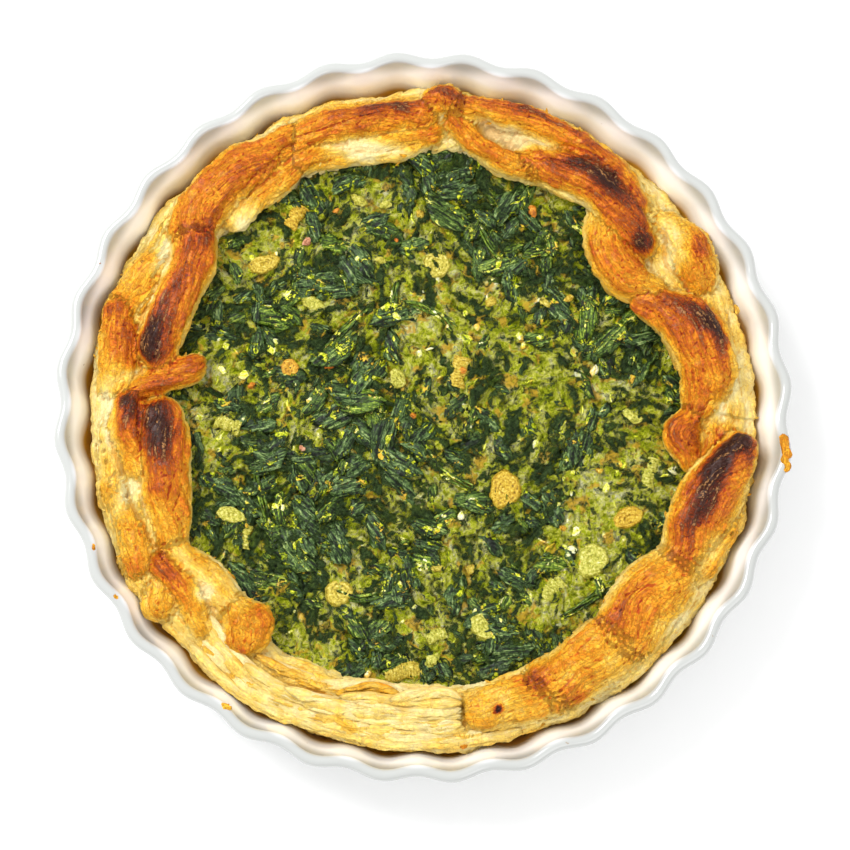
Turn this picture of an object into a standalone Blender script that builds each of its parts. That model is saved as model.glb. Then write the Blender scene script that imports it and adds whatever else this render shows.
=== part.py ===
"""Spinach tart in its white fluted baking dish, in metres, +Z up, standing on Z = 0.

The dish is a turned bowl whose wall is waved into 32 flutes. The pastry case is one sheet of puff
pastry: a cup that lines the dish, with its edge folded and rolled inwards over the filling. The
filling is a low disc with a lumpy top, and slices of spring onion lie sunk in it.
+Y is the side of the tart where the pastry is pinched to a point.
"""

import math

import bpy
from mathutils import Vector, noise

MM = 0.001

# The dish
RIM_RADIUS = 138.7 * MM
FLUTES = 32
FLUTE_WAVE = 1.3 * MM
FIRST_FLUTE = math.radians(4.6)
DISH_HEIGHT = 45 * MM
FOOT_RADIUS = 124 * MM
FOOT_INSET = 4.5 * MM
DISH_WALL = 4.6 * MM
DISH_FLOOR = 5 * MM
RIM_OVERHANG = 0.4 * MM
RIM_ROUNDING = 1.4 * MM
FOOT_RING_WIDTH = 5.5 * MM
FOOT_RECESS = 1.2 * MM
POINTS_PER_FLUTE = 4

# The tart
GAP = 0.35 * MM
PASTRY_FLOOR = 4 * MM
PASTRY_FOOT = ((104, 0), (113, 0), (118, 4))
PASTRY_FLANK = ((122, 14), (125.4, 25))
PASTRY_LEVEL = 38 * MM
PASTRY_RADIUS = 124 * MM
PASTRY_SEGMENTS = 64
FILLING_RADIUS = 108 * MM
FILLING_CENTRE_Y = 3 * MM
FILLING_LEVEL = 31 * MM
FILLING_SEGMENTS = 56
FILLING_SIDE = ((9, 0), (4, 5), (0.6, 14))
FILLING_RINGS = (1.0, 0.955, 0.9, 0.835, 0.76, 0.68, 0.6, 0.52, 0.44, 0.36, 0.28, 0.2, 0.12, 0.05)
FLAT_EDGE = 14 * MM
COARSE_LUMPS = 26 * MM
FINE_LUMPS = 11 * MM
FOLD_BASE = 29.5 * MM
FOLD_SIDES = 16
FOLD_STEP = 5 * MM
LEAF_SIDES = 6
LEAF_STEP = 9 * MM
LEAF_WAVER = 0.5 * MM
LIP_SIDES = 8
DOUGH_VOXEL = 1.5 * MM
DOUGH_SMOOTHING = 5
DOUGH_TRIANGLES = 6200

# Rolls and folds of the pastry's edge, clockwise from the pinched point. Each has the stations of its
# route, in mm: x, y, half width and height of the crest.
FOLDS = {
    "pinched_point": ((5, 119.5, 5.5, 45), (9, 118.5, 7.5, 47), (12, 117, 5.5, 45)),
    "outer_plait": (
        (12, 119, 5, 45), (32, 115, 5.5, 45), (52, 109, 5.5, 45),
        (72, 96, 6, 46), (82, 82, 5, 44),
    ),
    "inner_ridge": ((11, 113, 4, 42), (20, 106, 5, 42), (30, 99, 5, 43), (43, 94, 5, 43)),
    "long_scorched_roll": (
        (38, 98, 6, 43), (52, 94.5, 8.5, 47), (66, 88, 9, 49),
        (77, 77, 8, 47), (83, 67, 6, 45),
    ),
    "inner_pillow": ((69, 77, 7, 41), (70, 66, 9.5, 43), (77, 54, 9.5, 43), (88, 49, 6, 42)),
    "outer_knuckle": ((93, 75, 5, 41), (103, 65, 8, 45), (106, 52, 6, 41)),
    "right_roll": ((86, 43, 6.5, 42), (100, 35, 11, 48), (109, 20, 11.5, 48), (106, 5, 8, 43)),
    "right_knuckle": ((102, -1, 5, 42), (98, -8, 7, 43), (100, -15, 5, 41)),
    "raised_corner": ((120, -13, 6.5, 50), (111, -26, 12, 49), (104, -39, 12.5, 47), (96, -54, 9, 44)),
    "corner_skirt": ((118, -24, 5, 42), (112.5, -41, 7.5, 42), (104, -57, 7.5, 41)),
    "front_right_roll": ((94, -58, 11, 44), (85, -69, 14, 45), (76, -82, 12, 44)),
    "front_middle_roll": ((72, -85, 11, 43), (60, -95, 12.5, 44), (46, -103, 10.5, 43)),
    "front_left_roll": ((48, -105, 9, 42), (35, -109, 9.5, 43), (22, -111, 8.5, 42)),
    "cheek_knob": ((-70, -74, 7, 43), (-66.5, -79, 9.5, 46), (-66, -83, 8.5, 44)),
    "ribbon": ((-94, -51, 6, 42), (-84, -60, 6.5, 42), (-73, -71, 6, 43)),
    "orange_ridge": ((-97, -57, 5, 43), (-90, -66, 5.5, 44), (-83, -80, 4.5, 41)),
    "curl": ((-99, -66, 6, 40), (-98, -72, 7.5, 42)),
    "left_outer_band": (
        (-119, -8, 5, 39), (-116, -28, 6.5, 39),
        (-110, -44, 7, 40), (-107, -55, 7, 41),
    ),
    "left_long_roll": ((-98, -1, 8, 46), (-97, -15, 9.5, 47), (-96, -32, 9, 45), (-94, -48, 6, 42)),
    "left_short_roll": ((-110, 2, 6.5, 44), (-111, -8, 7.5, 44), (-108, -20, 6, 41)),
    "left_curl": ((-107, 11, 5, 43), (-97, 15, 6, 43), (-88, 18, 6.5, 42)),
    "left_outer_bulge": ((-118, 39, 6, 43), (-117, 27, 7.5, 42), (-118, 12, 6.5, 40)),
    "left_outer_shelf": ((-97, 67, 5, 39), (-107, 53, 7, 40), (-115, 41, 7, 41)),
    "left_scorched_roll": (
        (-87, 66, 9, 45), (-91, 52, 9.5, 48),
        (-97, 37, 8.5, 48), (-102, 25, 7.5, 46),
    ),
    "back_left_roll": ((-53, 106, 6, 43), (-70, 94, 9.5, 46), (-83, 81, 10, 46), (-90, 68, 8, 43)),
    "back_left_face": ((-53, 95, 7, 40), (-61, 87, 8, 40), (-71, 76, 6, 39)),
    "back_outer_roll": ((0, 117, 5, 43), (-14, 116, 6.5, 44), (-30, 112.5, 7, 44), (-47, 106.5, 6, 43)),
    "back_inner_face": ((3, 109, 4.5, 41), (-15, 104, 5.5, 40), (-32, 101, 5.5, 40), (-46, 98, 5, 41)),
}

# Flaky leaves of pastry whose cut edges stand up along the front: radius, first and last angle in
# degrees, half width and crest, in mm.
LEAF_BANDS = (
    (121.4, 218, 288, 2.3, 37.5),
    (117.3, 214, 290, 2.2, 40.0),
    (113.0, 217, 284, 2.2, 41.5),
    (108.8, 224, 279, 1.9, 41.0),
)

# The thin lip over the front of the filling, given as the folds are.
LIP = (
    (-61, -93.5, 1.6, 35.5), (-46, -101, 1.6, 36), (-31, -105, 1.6, 36), (-19, -102.5, 1.6, 36.5),
    (-9, -105.5, 1.6, 36),
)
LIP_BASE = FILLING_LEVEL - 3 * MM

# Slices of spring onion: place in plan, length, width and turn in degrees.
ONION_SLICES = (
    ((31, -28), 15, 12, 80),
    ((5, 58.5), 11, 10.5, 0),
    ((-32, -67.5), 11, 10, 20),
    ((-51, 18.5), 7.5, 7, 0),
    ((78, -38.5), 13, 8, 25),
    ((64, -55), 14, 12, 60),
    ((23.5, -80), 13, 10, -20),
    ((-61, 58.5), 13, 7, 17),
    ((-73, -38), 12, 6.5, -15),
)
SLICE_SIDES = 12
SLICE_HEIGHT = 2.6 * MM
SLICE_SHOWS = 0.7 * MM
SLICE_BEVEL = 0.5 * MM
POCKET_ABOVE = 3 * MM

WHITE_GLAZE = (0.86, 0.86, 0.84)
BAKED_GOLD = (0.72, 0.33, 0.06)
SPINACH_GREEN = (0.10, 0.17, 0.03)
ONION_YELLOW = (0.52, 0.45, 0.07)


def clear_scene():
    for obj in list(bpy.data.objects):
        bpy.data.objects.remove(obj)


def material(name, colour, roughness):
    made = bpy.data.materials.new(name)
    made.use_nodes = True
    shader = made.node_tree.nodes["Principled BSDF"]
    shader.inputs["Base Color"].default_value = (*colour, 1)
    shader.inputs["Roughness"].default_value = roughness
    shader.inputs["Metallic"].default_value = 0
    return made


def new_object(name, vertices, faces, look):
    mesh = bpy.data.meshes.new(name)
    mesh.from_pydata(vertices, [], faces)
    mesh.materials.append(look)
    mesh.validate()
    mesh.shade_smooth()
    mesh.set_sharp_from_angle(angle=math.radians(50))
    obj = bpy.data.objects.new(name, mesh)
    bpy.context.scene.collection.objects.link(obj)
    return obj


def closed_rings(name, rings, look):
    """A closed solid from rings of points, each ring seen from outside in the same turn.

    The first and the last ring are closed with a fan of triangles to their own middle.
    """
    count = len(rings[0])
    vertices = [point for ring in rings for point in ring]
    faces = []
    for row in range(len(rings) - 1):
        here, above = row * count, (row + 1) * count
        for i in range(count):
            j = (i + 1) % count
            faces.append((here + i, here + j, above + j, above + i))
    for ring, flip in ((0, True), (len(rings) - 1, False)):
        middle = sum((Vector(p) for p in rings[ring]), Vector()) / count
        pole = len(vertices)
        vertices.append(middle)
        for i in range(count):
            a, b = ring * count + i, ring * count + (i + 1) % count
            faces.append((b, a, pole) if flip else (a, b, pole))
    return new_object(name, vertices, faces, look)


def turned_ring(radius, height, segments, centre_y=0.0, first_angle=0.0):
    """Points round a circle. Radius and height are numbers, or functions of the angle."""
    ring = []
    for i in range(segments):
        angle = first_angle + math.tau * i / segments
        r = radius(angle) if callable(radius) else radius
        z = height(angle) if callable(height) else height
        ring.append((r * math.cos(angle), centre_y + r * math.sin(angle), z))
    return ring


def dish_outer_radius(z):
    return FOOT_RADIUS + (RIM_RADIUS - FOOT_RADIUS) * z / DISH_HEIGHT


def make_dish(look):
    """Profile from the foot's recess, out and up the wall, over the rim and down to the floor."""

    def wall_point(z, inwards, fluting):
        mean = dish_outer_radius(z) - inwards

        def radius(angle):
            return mean + fluting * FLUTE_WAVE * math.cos(FLUTES * (angle - FIRST_FLUTE))

        return radius, z

    foot_outer = FOOT_RADIUS - FOOT_INSET
    foot_inner = foot_outer - FOOT_RING_WIDTH
    profile = [
        (foot_inner - FOOT_RECESS, FOOT_RECESS),
        (foot_inner, 0.0),
        (foot_outer, 0.0),
        wall_point(4 * MM, 0.8 * MM, 0.8),
        wall_point(24 * MM, -0.4 * MM, 1.0),
        wall_point(DISH_HEIGHT - RIM_ROUNDING, -RIM_OVERHANG, 1.0),
        wall_point(DISH_HEIGHT, DISH_WALL / 2 - RIM_OVERHANG, 1.0),
        wall_point(DISH_HEIGHT - RIM_ROUNDING, DISH_WALL - RIM_OVERHANG, 1.0),
        wall_point(30 * MM, DISH_WALL, 1.0),
        wall_point(14 * MM, DISH_WALL + 0.2 * MM, 0.8),
        wall_point(DISH_FLOOR + 1.6 * MM, DISH_WALL + 2.2 * MM, 0.3),
        (FOOT_RADIUS - DISH_WALL - 6 * MM, DISH_FLOOR),
    ]
    segments = FLUTES * POINTS_PER_FLUTE
    rings = [
        turned_ring(radius, height, segments, first_angle=FIRST_FLUTE) for radius, height in profile
    ]
    return closed_rings("dish", rings, look)


def filling_relief(x, y):
    """Height of the filling's lumps above its level, in metres: soft at the edge."""
    from_edge = FILLING_RADIUS - math.hypot(x, y - FILLING_CENTRE_Y)
    share = min(1.0, max(0.0, from_edge / FLAT_EDGE))
    coarse = noise.noise(Vector((x / COARSE_LUMPS, y / COARSE_LUMPS, 4.1)))
    fine = noise.noise(Vector((x / FINE_LUMPS, y / FINE_LUMPS, 9.7)))
    crown = 0.8 * MM * (1 - (math.hypot(x, y) / FILLING_RADIUS) ** 2)
    return crown + share * (1.1 * coarse + 0.9 * fine) * MM


def make_filling(name, grow, look):
    """The filling's disc. With grow above zero it is the space that the pastry leaves for it."""
    base = DISH_FLOOR + GAP + PASTRY_FLOOR + GAP - grow
    rings = []
    for inwards, height in FILLING_SIDE:
        radius = FILLING_RADIUS - inwards * MM + grow
        rings.append(turned_ring(radius, base + height * MM, FILLING_SEGMENTS, FILLING_CENTRE_Y))
    for share in FILLING_RINGS:
        radius = FILLING_RADIUS * share + (grow if share == 1.0 else 0.0)
        ring = turned_ring(radius, FILLING_LEVEL + grow, FILLING_SEGMENTS, FILLING_CENTRE_Y)
        rings.append([(x, y, z + filling_relief(x, y)) for x, y, z in ring])
    return closed_rings(name, rings, look)


def bump(angle, centre, width):
    """A smooth hump from 0 to 1 round an angle, both in degrees."""
    off = (math.degrees(angle) - centre + 180) % 360 - 180
    return math.exp(-((off / width) ** 2))


def pastry_outline(angle):
    """The pastry's outer radius: it has shrunk a little unevenly off the dish's wall."""
    shift = -1.6 * math.cos(angle) + 0.4 * math.sin(angle)
    swell = 3.4 * bump(angle, -43, 26) + 1.6 * bump(angle, 213, 14) + 2.2 * bump(angle, 163, 8)
    ripple = 0.5 * math.sin(9 * angle) + 0.4 * math.sin(14 * angle + 1)
    return PASTRY_RADIUS + (shift + swell + ripple) * MM


def make_pastry_cup(look):
    """The sheet that lines the dish: its floor, its wall and the puffed edge at the top."""

    def out(inwards):
        return lambda angle: pastry_outline(angle) - inwards

    def level(drop):
        return lambda angle: PASTRY_LEVEL - drop + 0.7 * MM * math.sin(7 * angle + 2)

    base = DISH_FLOOR + GAP
    profile = [(radius * MM, base + height * MM) for radius, height in PASTRY_FOOT]
    profile += [(radius * MM, height * MM) for radius, height in PASTRY_FLANK]
    profile += [
        (out(0.0), 31.5 * MM),
        (out(0.5 * MM), level(3.2 * MM)),
        (out(3.5 * MM), level(0.6 * MM)),
        (out(9 * MM), level(0.0)),
        (out(14 * MM), level(0.8 * MM)),
        (FILLING_RADIUS - 3 * MM, PASTRY_LEVEL - 2.4 * MM),
        (FILLING_RADIUS - 8 * MM, FILLING_LEVEL - 3 * MM),
    ]
    rings = [turned_ring(radius, height, PASTRY_SEGMENTS) for radius, height in profile]
    return closed_rings("pastry_case", rings, look)


def smooth_route(points, step):
    """Stations along a smooth curve through the points, about one step apart.

    Each station is a list of the same length as a point. The curve is a Catmull-Rom spline.
    """

    def between(a, b, c, d, t):
        bend = (2 * a - 5 * b + 4 * c - d) * t**2 + (3 * b - a - 3 * c + d) * t**3
        return 0.5 * (2 * b + (c - a) * t + bend)

    points = [list(p) for p in points]
    first = [2 * a - b for a, b in zip(points[0], points[1])]
    last = [2 * a - b for a, b in zip(points[-1], points[-2])]
    padded = [first, *points, last]
    stations = []
    for before, start, end, after in zip(padded, padded[1:], padded[2:], padded[3:]):
        pieces = max(1, round(math.dist(start[:2], end[:2]) / step))
        for k in range(pieces):
            neighbours = zip(before, start, end, after)
            stations.append([between(*values, k / pieces) for values in neighbours])
    stations.append(points[-1])
    return stations


def make_fold(name, stations, base, look, sides=FOLD_SIDES):
    """A roll of dough with an oval section. Each station is (x, y, half width, crest height).

    Both ends are rounded: past the first and the last station the section shrinks to a point.
    """
    rings = []
    last = len(stations) - 1
    tangents = [
        (Vector(stations[min(i + 1, last)][:2]) - Vector(stations[max(i - 1, 0)][:2])).normalized()
        for i in range(last + 1)
    ]
    rows = [(0, -0.92, 0.38), (0, -0.6, 0.8)]
    rows += [(i, 0.0, 1.0) for i in range(last + 1)]
    rows += [(last, 0.6, 0.8), (last, 0.92, 0.38)]
    for station, past_end, size in rows:
        x, y, half, crest = stations[station]
        along = tangents[station]
        middle = Vector((x, y)) + along * past_end * half
        across = Vector((along.y, -along.x))
        mid_height, half_height = (crest + base) / 2, (crest - base) / 2
        ring = []
        for k in range(sides):
            turn = math.tau * k / sides
            side = middle + across * half * size * math.cos(turn)
            ring.append((side.x, side.y, mid_height + half_height * size * math.sin(turn)))
        rings.append(ring)
    return closed_rings(name, rings, look)


def in_metres(stations):
    return [[value * MM for value in station] for station in stations]


def make_rolls(look):
    return [
        make_fold(name, smooth_route(in_metres(stations), FOLD_STEP), FOLD_BASE, look)
        for name, stations in FOLDS.items()
    ]


def make_leaves(look):
    """The cut edges of the flaky layers along the front, and the thin lip over the filling."""
    leaves = []
    for number, (radius, first, last, half, crest) in enumerate(LEAF_BANDS):
        steps = round(math.radians(last - first) * radius * MM / LEAF_STEP)
        stations = []
        for k in range(steps + 1):
            angle = math.radians(first + (last - first) * k / steps)
            wavering = radius * MM + LEAF_WAVER * math.sin(2.3 * k + 1.7 * number)
            height = crest * MM + LEAF_WAVER * math.sin(1.9 * k + number)
            stations.append([wavering * math.cos(angle), wavering * math.sin(angle), half * MM, height])
        leaves.append(make_fold(f"leaf_{number}", stations, FOLD_BASE, look, LEAF_SIDES))
    route = smooth_route(in_metres(LIP), LEAF_STEP)
    lip = make_fold("lip", route, LIP_BASE, look, LIP_SIDES)
    return [*leaves, lip]


def apply_modifier(body, modifier):
    bpy.context.view_layer.objects.active = body
    bpy.ops.object.modifier_apply(modifier=modifier.name)


def blend_dough(body):
    """Melts the joined rolls into one smooth dough of about DOUGH_TRIANGLES triangles."""
    remesh = body.modifiers.new("one_dough", "REMESH")
    remesh.mode = "VOXEL"
    remesh.voxel_size = DOUGH_VOXEL
    remesh.use_smooth_shade = True
    apply_modifier(body, remesh)
    smooth = body.modifiers.new("soft_creases", "SMOOTH")
    smooth.iterations = DOUGH_SMOOTHING
    apply_modifier(body, smooth)
    triangles = sum(len(face.vertices) - 2 for face in body.data.polygons)
    decimate = body.modifiers.new("fewer_faces", "DECIMATE")
    decimate.ratio = DOUGH_TRIANGLES / triangles
    apply_modifier(body, decimate)


def join_and_cut(body, joined, cutters):
    """Joins the shapes to the body and takes the cutters out of it, then removes them all."""
    for operation, shapes in (("UNION", joined), ("DIFFERENCE", cutters)):
        if not shapes:
            continue
        group = bpy.data.collections.new(operation.lower())
        bpy.context.scene.collection.children.link(group)
        for shape in shapes:
            group.objects.link(shape)
        boolean = body.modifiers.new(operation.lower(), "BOOLEAN")
        boolean.operation = operation
        boolean.solver = "EXACT"
        boolean.operand_type = "COLLECTION"
        boolean.collection = group
        apply_modifier(body, boolean)
        for shape in shapes:
            bpy.data.objects.remove(shape)
        bpy.data.collections.remove(group)


def make_slice(name, place, length, width, turn, grow, look):
    """An oval slice with a bevelled top edge, sunk in the filling, or with grow its pocket."""
    x, y = (value * MM for value in place)
    top = FILLING_LEVEL + filling_relief(x, y) + SLICE_SHOWS
    bottom = top - SLICE_HEIGHT - grow
    tilt = math.radians(turn)
    outline = ((1.0, bottom), (1.0, top - SLICE_BEVEL), (0.8, top))
    if grow:
        outline = ((1.0, bottom), (1.0, top + POCKET_ABOVE))
    rings = []
    for share, height in outline:
        ring = []
        for k in range(SLICE_SIDES):
            angle = math.tau * k / SLICE_SIDES
            along = (length / 2 * MM + grow) * share * math.cos(angle)
            across = (width / 2 * MM + grow) * share * math.sin(angle)
            ring.append((
                x + along * math.cos(tilt) - across * math.sin(tilt),
                y + along * math.sin(tilt) + across * math.cos(tilt),
                height,
            ))
        rings.append(ring)
    return closed_rings(name, rings, look)


def main():
    clear_scene()
    glaze = material("white_glaze", WHITE_GLAZE, 0.12)
    pastry = material("baked_puff_pastry", BAKED_GOLD, 0.5)
    spinach = material("spinach_filling", SPINACH_GREEN, 0.4)
    onion = material("spring_onion", ONION_YELLOW, 0.45)

    make_dish(glaze)
    case = make_pastry_cup(pastry)
    room = make_filling("room_for_filling", GAP, spinach)
    join_and_cut(case, make_rolls(pastry), [])
    blend_dough(case)
    join_and_cut(case, make_leaves(pastry), [room])

    filling = make_filling("spinach_filling", 0.0, spinach)
    pockets = []
    for number, (place, length, width, turn) in enumerate(ONION_SLICES, 1):
        size = (place, length, width, turn)
        make_slice(f"spring_onion_slice_{number}", *size, 0.0, onion)
        pockets.append(make_slice(f"pocket_{number}", *size, GAP, onion))
    join_and_cut(filling, [], pockets)


main()
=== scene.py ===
"""Looks of the spinach tart in its fluted baking dish, in metres, +Z up, the dish on Z = 0.

Glazed porcelain, baked puff pastry and a filling of chopped spinach in custard, modelled round the
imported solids. +Y is the side of the tart where the pastry is pinched to a point.
"""

import math

import bmesh
import bpy
import numpy as np
from mathutils import Matrix, Vector, kdtree, noise


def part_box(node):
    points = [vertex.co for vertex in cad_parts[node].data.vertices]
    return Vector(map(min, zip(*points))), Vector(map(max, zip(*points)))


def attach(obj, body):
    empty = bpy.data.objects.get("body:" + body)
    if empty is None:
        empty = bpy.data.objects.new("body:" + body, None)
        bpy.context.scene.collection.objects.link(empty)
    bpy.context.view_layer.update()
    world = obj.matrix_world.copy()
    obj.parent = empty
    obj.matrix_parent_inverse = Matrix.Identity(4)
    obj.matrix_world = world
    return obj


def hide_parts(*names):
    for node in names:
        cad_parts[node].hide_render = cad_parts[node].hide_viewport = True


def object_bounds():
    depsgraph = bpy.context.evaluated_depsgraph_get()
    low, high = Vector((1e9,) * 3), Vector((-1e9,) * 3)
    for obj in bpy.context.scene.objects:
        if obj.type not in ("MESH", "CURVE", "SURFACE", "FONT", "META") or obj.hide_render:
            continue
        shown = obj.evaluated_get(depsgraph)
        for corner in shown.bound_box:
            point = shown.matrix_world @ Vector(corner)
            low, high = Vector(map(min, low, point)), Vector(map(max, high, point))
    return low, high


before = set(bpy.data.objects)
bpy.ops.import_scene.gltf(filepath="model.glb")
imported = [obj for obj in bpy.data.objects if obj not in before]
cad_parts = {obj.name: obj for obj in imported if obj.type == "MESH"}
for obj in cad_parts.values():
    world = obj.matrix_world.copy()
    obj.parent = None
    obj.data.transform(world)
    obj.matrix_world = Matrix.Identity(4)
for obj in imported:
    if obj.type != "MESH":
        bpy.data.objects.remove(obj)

MM = 0.001
QUARTER_TURN = 1.57
CAD_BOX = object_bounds()

# The dish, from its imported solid
DISH_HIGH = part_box("dish")[1]
FLUTES = 32
STEPS_PER_FLUTE = 16
FLUTE_WAVE = 1.3 * MM
FIRST_FLUTE = math.radians(4.6)
DISH_HEIGHT = DISH_HIGH.z
RIM_RADIUS = DISH_HIGH.x / math.cos(FIRST_FLUTE) - FLUTE_WAVE - 0.05 * MM
FOOT_RADIUS = 124 * MM
WALL_SLOPE = (RIM_RADIUS - FOOT_RADIUS) / DISH_HEIGHT
DISH_WALL = 4.6 * MM
DISH_FLOOR = 5 * MM

# The tart
PASTRY_RADIUS = 124 * MM
PASTRY_LEVEL = 38 * MM
FILLING_LOW, FILLING_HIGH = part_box("spinach_filling")
FILLING_RADIUS = FILLING_HIGH.x
FILLING_CENTRE_Y = (FILLING_HIGH.y + FILLING_LOW.y) / 2
FILLING_LEVEL = 31 * MM
CRUST_BASE = 27 * MM
FOLD_BASE = 29.5 * MM
DOUGH_GRID = 1.0 * MM
DOUGH_SMOOTHING = 12
BAND_BAKE = 0.16
CUP_BAKE = 0.3
CUP_STEPS = 128
SHEET_COLUMNS = 7
STEM_SIDES = 6


def flat_rows(text):
    """Rows of numbers parted by commas, from a short table given as text."""
    return [[float(value) for value in row.split()] for row in text.split(",")]


# How many rounds of averaging show a narrow hollow and a wide one
NARROW = 4
WIDE = 24

# Rolls and folds of the pastry's edge, clockwise from the pinched point. Each row has the points of
# the route, one after another: x, y, half width, height of the crest, all in mm, and how far it is
# baked there, from 0 for raw cream to 1 for scorched.
FOLDS = {
    "pinched_point": "5 121.5 5.5 45 .46, 9 121.5 7 47 .5, 13 119 5.5 45 .48",
    "outer_plait": "12 119 5 45 .46, 32 115 5.5 45 .42, 52 109 5.5 45 .4, 72 96 6 46 .44, 82 82 5 44 .5",
    "inner_ridge": "11 113 4 42 .46, 20 106 5 42 .5, 30 99 5 43 .42, 43 94 5 43 .38",
    "long_scorched_roll": "38 98 6 43 .46, 52 94.5 8.5 47 .6, 66 88 9 49 .62, 77 77 8 47 .58, 83 67 6 45 .6",
    "inner_pillow": "69 77 7 41 .34, 70 66 9.5 43 .46, 77 54 9.5 43 .46, 88 49 6 42 .38",
    "outer_knuckle": "93 75 5 41 .3, 103 65 8 45 .42, 106 52 6 41 .34",
    "right_roll": "86 43 6.5 42 .5, 100 35 11 48 .56, 109 20 11.5 48 .5, 106 5 8 43 .46",
    "right_knuckle": "102 -1 5 42 .48, 98 -8 7 43 .5, 100 -15 5 41 .4",
    "raised_corner": "120 -13 6.5 50 .66, 111 -26 12 49 .54, 104 -39 12.5 47 .5, 96 -54 9 44 .42",
    "corner_skirt": "118 -24 5 42 .38, 112.5 -41 7.5 42 .34, 104 -57 7.5 41 .3",
    "front_right_roll": "94 -58 11 44 .38, 85 -69 14 45 .38, 76 -82 12 44 .39",
    "front_middle_roll": "72 -85 11 43 .36, 60 -95 12.5 44 .35, 46 -103 10.5 43 .38",
    "front_left_roll": "48 -105 9 42 .4, 35 -109 9.5 43 .3, 22 -111 8.5 42 .24",
    "cheek_knob": "-70 -74 7 43 .38, -66.5 -79 9.5 46 .42, -66 -83 8.5 44 .38",
    "ribbon": "-94 -51 6 42 .42, -84 -60 6.5 42 .36, -73 -71 6 43 .22",
    "orange_ridge": "-97 -57 5 43 .52, -90 -66 5.5 44 .46, -83 -80 4.5 41 .24",
    "curl": "-99 -66 6 40 .3, -98 -72 7.5 42 .28",
    "left_outer_band": "-119 -8 5 39 .2, -116 -28 6.5 39 .24, -110 -44 7 40 .3, -107 -55 7 41 .36",
    "left_long_roll": "-98 -1 8 46 .6, -97 -15 9.5 47 .58, -96 -32 9 45 .48, -94 -48 6 42 .4",
    "left_short_roll": "-110 2 6.5 44 .56, -111 -8 7.5 44 .48, -108 -20 6 41 .3",
    "left_curl": "-107 11 5 43 .44, -97 15 6 43 .46, -88 18 6.5 42 .42",
    "left_outer_bulge": "-118 39 6 43 .48, -117 27 7.5 42 .42, -118 12 6.5 40 .28",
    "left_outer_shelf": "-97 67 5 39 .32, -107 53 7 40 .36, -115 41 7 41 .44",
    "left_scorched_roll": "-87 66 9 45 .5, -91 52 9.5 48 .54, -97 37 8.5 48 .58, -102 25 7.5 46 .66",
    "back_left_roll": "-53 106 6 43 .48, -70 94 9.5 46 .52, -83 81 10 46 .54, -90 68 8 43 .54",
    "back_left_face": "-53 95 7 40 .38, -61 87 8 40 .34, -71 76 6 39 .2",
    "back_outer_roll": "0 117 5 43 .5, -14 116 6.5 44 .52, -30 112.5 7 44 .48, -47 106.5 6 43 .46",
    "back_inner_face": "3 109 4.5 41 .44, -15 104 5.5 40 .3, -32 101 5.5 40 .2, -46 98 5 41 .42",
}

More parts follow.
